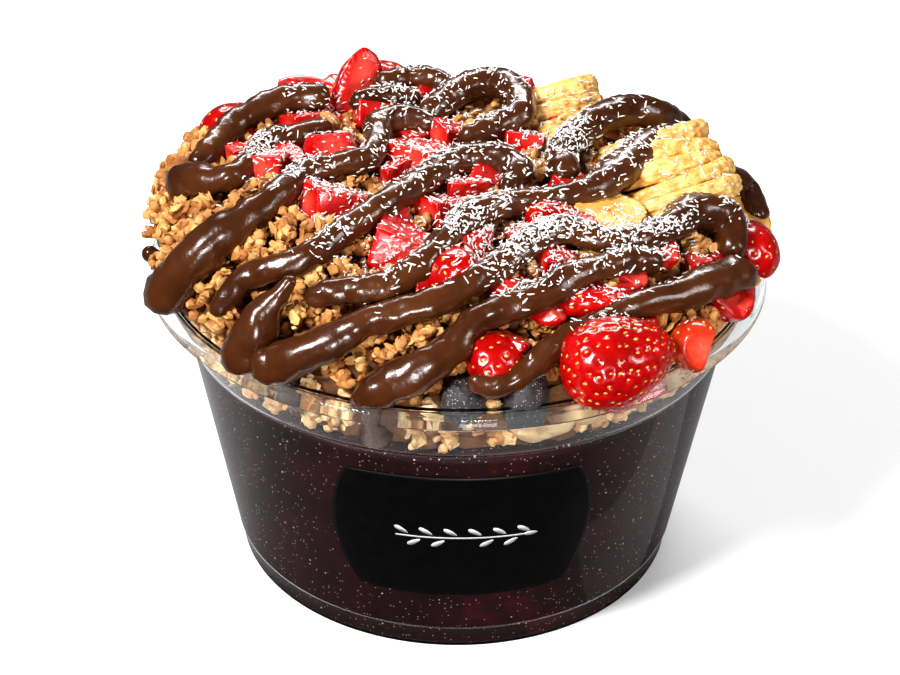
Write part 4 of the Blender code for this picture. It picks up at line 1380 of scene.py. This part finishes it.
def shred_template(rng):
    """A short curled sliver with a four-sided section."""
    bm = bmesh.new()
    bmesh.ops.create_cube(bm, size=1.0)
    long_edges = [e for e in bm.edges if abs(e.verts[0].co.x - e.verts[1].co.x) > 0.5]
    bmesh.ops.subdivide_edges(bm, edges=long_edges, cuts=1, use_grid_fill=False)
    length, width, thick = rng.uniform(0.5, 1.8), rng.uniform(0.18, 0.38), rng.uniform(0.11, 0.18)
    bend = rng.uniform(-0.22, 0.22)
    twist = rng.uniform(-0.8, 0.8)
    for vert in bm.verts:
        x, y, z = vert.co
        narrow = 1.0 - rng.uniform(0.1, 0.6) * 2 * abs(x)
        turn = twist * x
        y, z = y * width * narrow, z * thick
        y, z = y * math.cos(turn) - z * math.sin(turn), y * math.sin(turn) + z * math.cos(turn)
        vert.co = Vector((x * length, y + bend * (4 * x * x - 0.5), z + 0.3 * bend * x)) * MM
    return template(bm)


def make_coconut(surface):
    """Shreds fall in drifts onto whatever lies on top and lie along it."""
    rng = random.Random(21)
    templates = [shred_template(rng) for _ in range(SHRED_KINDS)]
    places, tones = [], []
    for cx, cy, spread, count in COCONUT_DRIFTS:
        for _ in range(count):
            if spread > WIDE_DRIFT:
                r, a = spread * math.sqrt(rng.random()), rng.uniform(0, 6.283)
                x, y = cx + r * math.cos(a), cy + r * math.sin(a)
            else:
                x, y = rng.gauss(cx, spread * 0.5), rng.gauss(cy, spread * 0.5)
            fall = Vector((rng.gauss(0, 0.35), rng.gauss(0.25, 0.45), -1.0)).normalized()
            start = Vector((x, y, 95.0)) * MM - fall * 60 * MM
            hit, normal, _, _ = surface.ray_cast(start, fall)
            if hit is None or hit.z < (RIM_Z + 0.8) * MM or hit.xy.length > COCONUT_REACH * MM:
                continue
            if normal.dot(fall) > 0:
                normal = -normal
            if normal.z < -0.1:
                continue
            heading = Vector((rng.gauss(0, 1), rng.gauss(0, 1), 0))
            lean = normal + Vector((rng.gauss(0, 0.3), rng.gauss(0, 0.3), rng.gauss(0, 0.15)))
            turn = facing(lean.normalized(), heading)
            if turn is None:
                continue
            rise = abs(rng.gauss(0.12, 0.25)) * MM
            size = rng.uniform(0.65, 1.25)
            matrix = Matrix.Translation(hit + normal * rise) @ turn @ Matrix.Scale(size, 4)
            places.append((rng.randrange(SHRED_KINDS), matrix))
            tones.append(rng.random())
    return joined("coconut_shreds", templates, places, coconut_white(), tones)


# ---------------------------------------------------------------- studio


CAMERA_DISTANCE = 467.25
CAMERA_RISE = 31.31
CAMERA_ROLL = 0.59
CAMERA_AIM = (-1.497, 49.94)
CAMERA_LENS = 80.0


def make_camera():
    rise, roll = math.radians(CAMERA_RISE), math.radians(CAMERA_ROLL)
    aim = Vector((CAMERA_AIM[0], 0.0, CAMERA_AIM[1]))
    back = Vector((0.0, -math.cos(rise), math.sin(rise)))
    right = Vector((1.0, 0.0, 0.0))
    up = back.cross(right)
    side = right * math.cos(roll) + up * math.sin(roll)
    top = up * math.cos(roll) - right * math.sin(roll)
    camera = bpy.data.cameras.new("camera")
    camera.sensor_width = 36.0
    camera.lens = CAMERA_LENS
    camera.clip_start = 0.01
    holder = placed("camera", camera)
    matrix = Matrix((side, top, back)).transposed().to_4x4()
    matrix.translation = (aim + back * CAMERA_DISTANCE) * MM
    holder.matrix_world = matrix
    bpy.context.scene.camera = holder


def area_light(name, at, aim, size, power):
    data = bpy.data.lights.new(name, "AREA")
    data.shape = "RECTANGLE"
    data.size, data.size_y = size
    data.energy = power
    holder = placed(name, data)
    place = Vector(at)
    turn = (place - Vector(aim)).to_track_quat("Z", "Y")
    holder.matrix_world = Matrix.LocRotScale(place, turn, None)
    return holder


# Lamps: name, where it is and where it aims in metres, size, power
LAMPS = [
    ("key", (-0.42, -0.42, 0.66), (0, 0, 0.07), (0.20, 0.20), 9.2),
    ("fill_right", (0.75, -0.30, 0.40), (0, 0, 0.06), (0.12, 0.4), 2.2),
    ("front", (0.12, -0.95, 0.30), (0, 0, 0.06), (0.2, 0.2), 5.6),
    ("back", (0.0, 0.75, 0.70), (0, 0, 0.08), (0.8, 0.14), 7.0),
]
# Strips lying on the table: width and power
STRIPS = [(0.022, 0.0016), (0.014, 0.0010), (0.007, 0.0008)]


def make_studio():
    bm = bmesh.new()
    bmesh.ops.create_grid(bm, x_segments=1, y_segments=1, size=3.0)
    mesh = bpy.data.meshes.new("floor")
    bm.to_mesh(mesh)
    bm.free()
    floor = placed("floor", mesh)
    f = Finish("floor_white", 0.9, **{"Specular IOR Level": 0.0})
    path = f.node("LightPath")
    apart = f.node("SeparateXYZ")
    f.join(f.place, apart.inputs["Vector"])
    behind = f.node("MapRange", **{"From Min": -0.075, "From Max": -0.010,
                                             "To Min": 0.02, "To Max": 0.26})
    f.join(apart.outputs["Y"], behind.inputs["Value"])
    sheen = f.mixed(path.outputs["Is Glossy Ray"], (0.12, 0.12, 0.125),
                    behind.outputs["Result"])
    through = f.mixed(path.outputs["Is Transmission Ray"], sheen, (0.85, 0.85, 0.86))
    f.colour(f.mixed(path.outputs["Is Camera Ray"], through, (0.97, 0.97, 0.97)))
    mesh.materials.append(f.mat)
    floor.location.z = -0.0002
    world = bpy.data.worlds.new("world")
    bpy.context.scene.world = world
    world.use_nodes = True
    tree = world.node_tree
    sky = tree.nodes["Background"]
    sky.inputs["Color"].default_value = (1, 1, 1, 1)
    path = tree.nodes.new("ShaderNodeLightPath")
    level = tree.nodes.new("ShaderNodeMapRange")
    level.inputs["To Min"].default_value = 0.07
    level.inputs["To Max"].default_value = 1.0
    either = tree.nodes.new("ShaderNodeMath")
    either.operation = "MAXIMUM"
    tree.links.new(path.outputs["Is Camera Ray"], either.inputs[0])
    tree.links.new(path.outputs["Is Transmission Ray"], either.inputs[1])
    tree.links.new(either.outputs["Value"], level.inputs["Value"])
    tree.links.new(level.outputs["Result"], sky.inputs["Strength"])
    for lamp in LAMPS:
        area_light(*lamp)
    # strips along the table, seen only as a soft streak on the shiny wall
    for width, power in STRIPS:
        strip = area_light("strip", (0, 0, 1), (0, 0, 0), (width, 0.16), power)
        strip.matrix_world = (Matrix.Translation((0.098, 0.007, 0.0005))
                              @ Matrix.Rotation(math.radians(-45), 4, "Z")
                              @ Matrix.Rotation(math.pi, 4, "X"))
        strip.visible_camera = False
        strip.visible_diffuse = False
        strip.visible_transmission = False
    bpy.context.scene.view_settings.view_transform = "Standard"
    bpy.context.scene.view_settings.look = "Medium High Contrast"


# ---------------------------------------------------------------- assembly


def main():
    make_cup()
    make_pulp()
    make_label()
    berry_mat = berry_finish("strawberry_red")
    strawberries = make_strawberries(berry_mat, berry_finish("strawberry_wet"))
    bananas = make_bananas()
    dark = make_dark_berries()
    sauce = make_sauce()
    bits = make_wall_bits(toasted("nut_pale", 200.0), berry_mat)
    toppings = surface_of(strawberries + bananas + dark + sauce + bits)
    oats = toasted("granola_toasted")
    # the lighter copy of the granola for the crumbs behind the wall: painted light
    painted_light_copy = toasted("granola_painted_light_copy")
    # the darker copy of the granola for the core: painted shade
    shade = toasted("granola_painted_shade")
    pale = toasted("oat_pale", 420.0)
    core = make_granola_core(shade)
    heap = make_clusters(toppings, oats, painted_light_copy)
    flakes = make_flakes(toppings, pale)
    heap += [make_rubble(toppings, core, oats), flakes, core]
    on_top = surface_of(strawberries + bananas + dark + sauce + heap)
    make_coconut(on_top)
    make_camera()
    make_studio()


main()
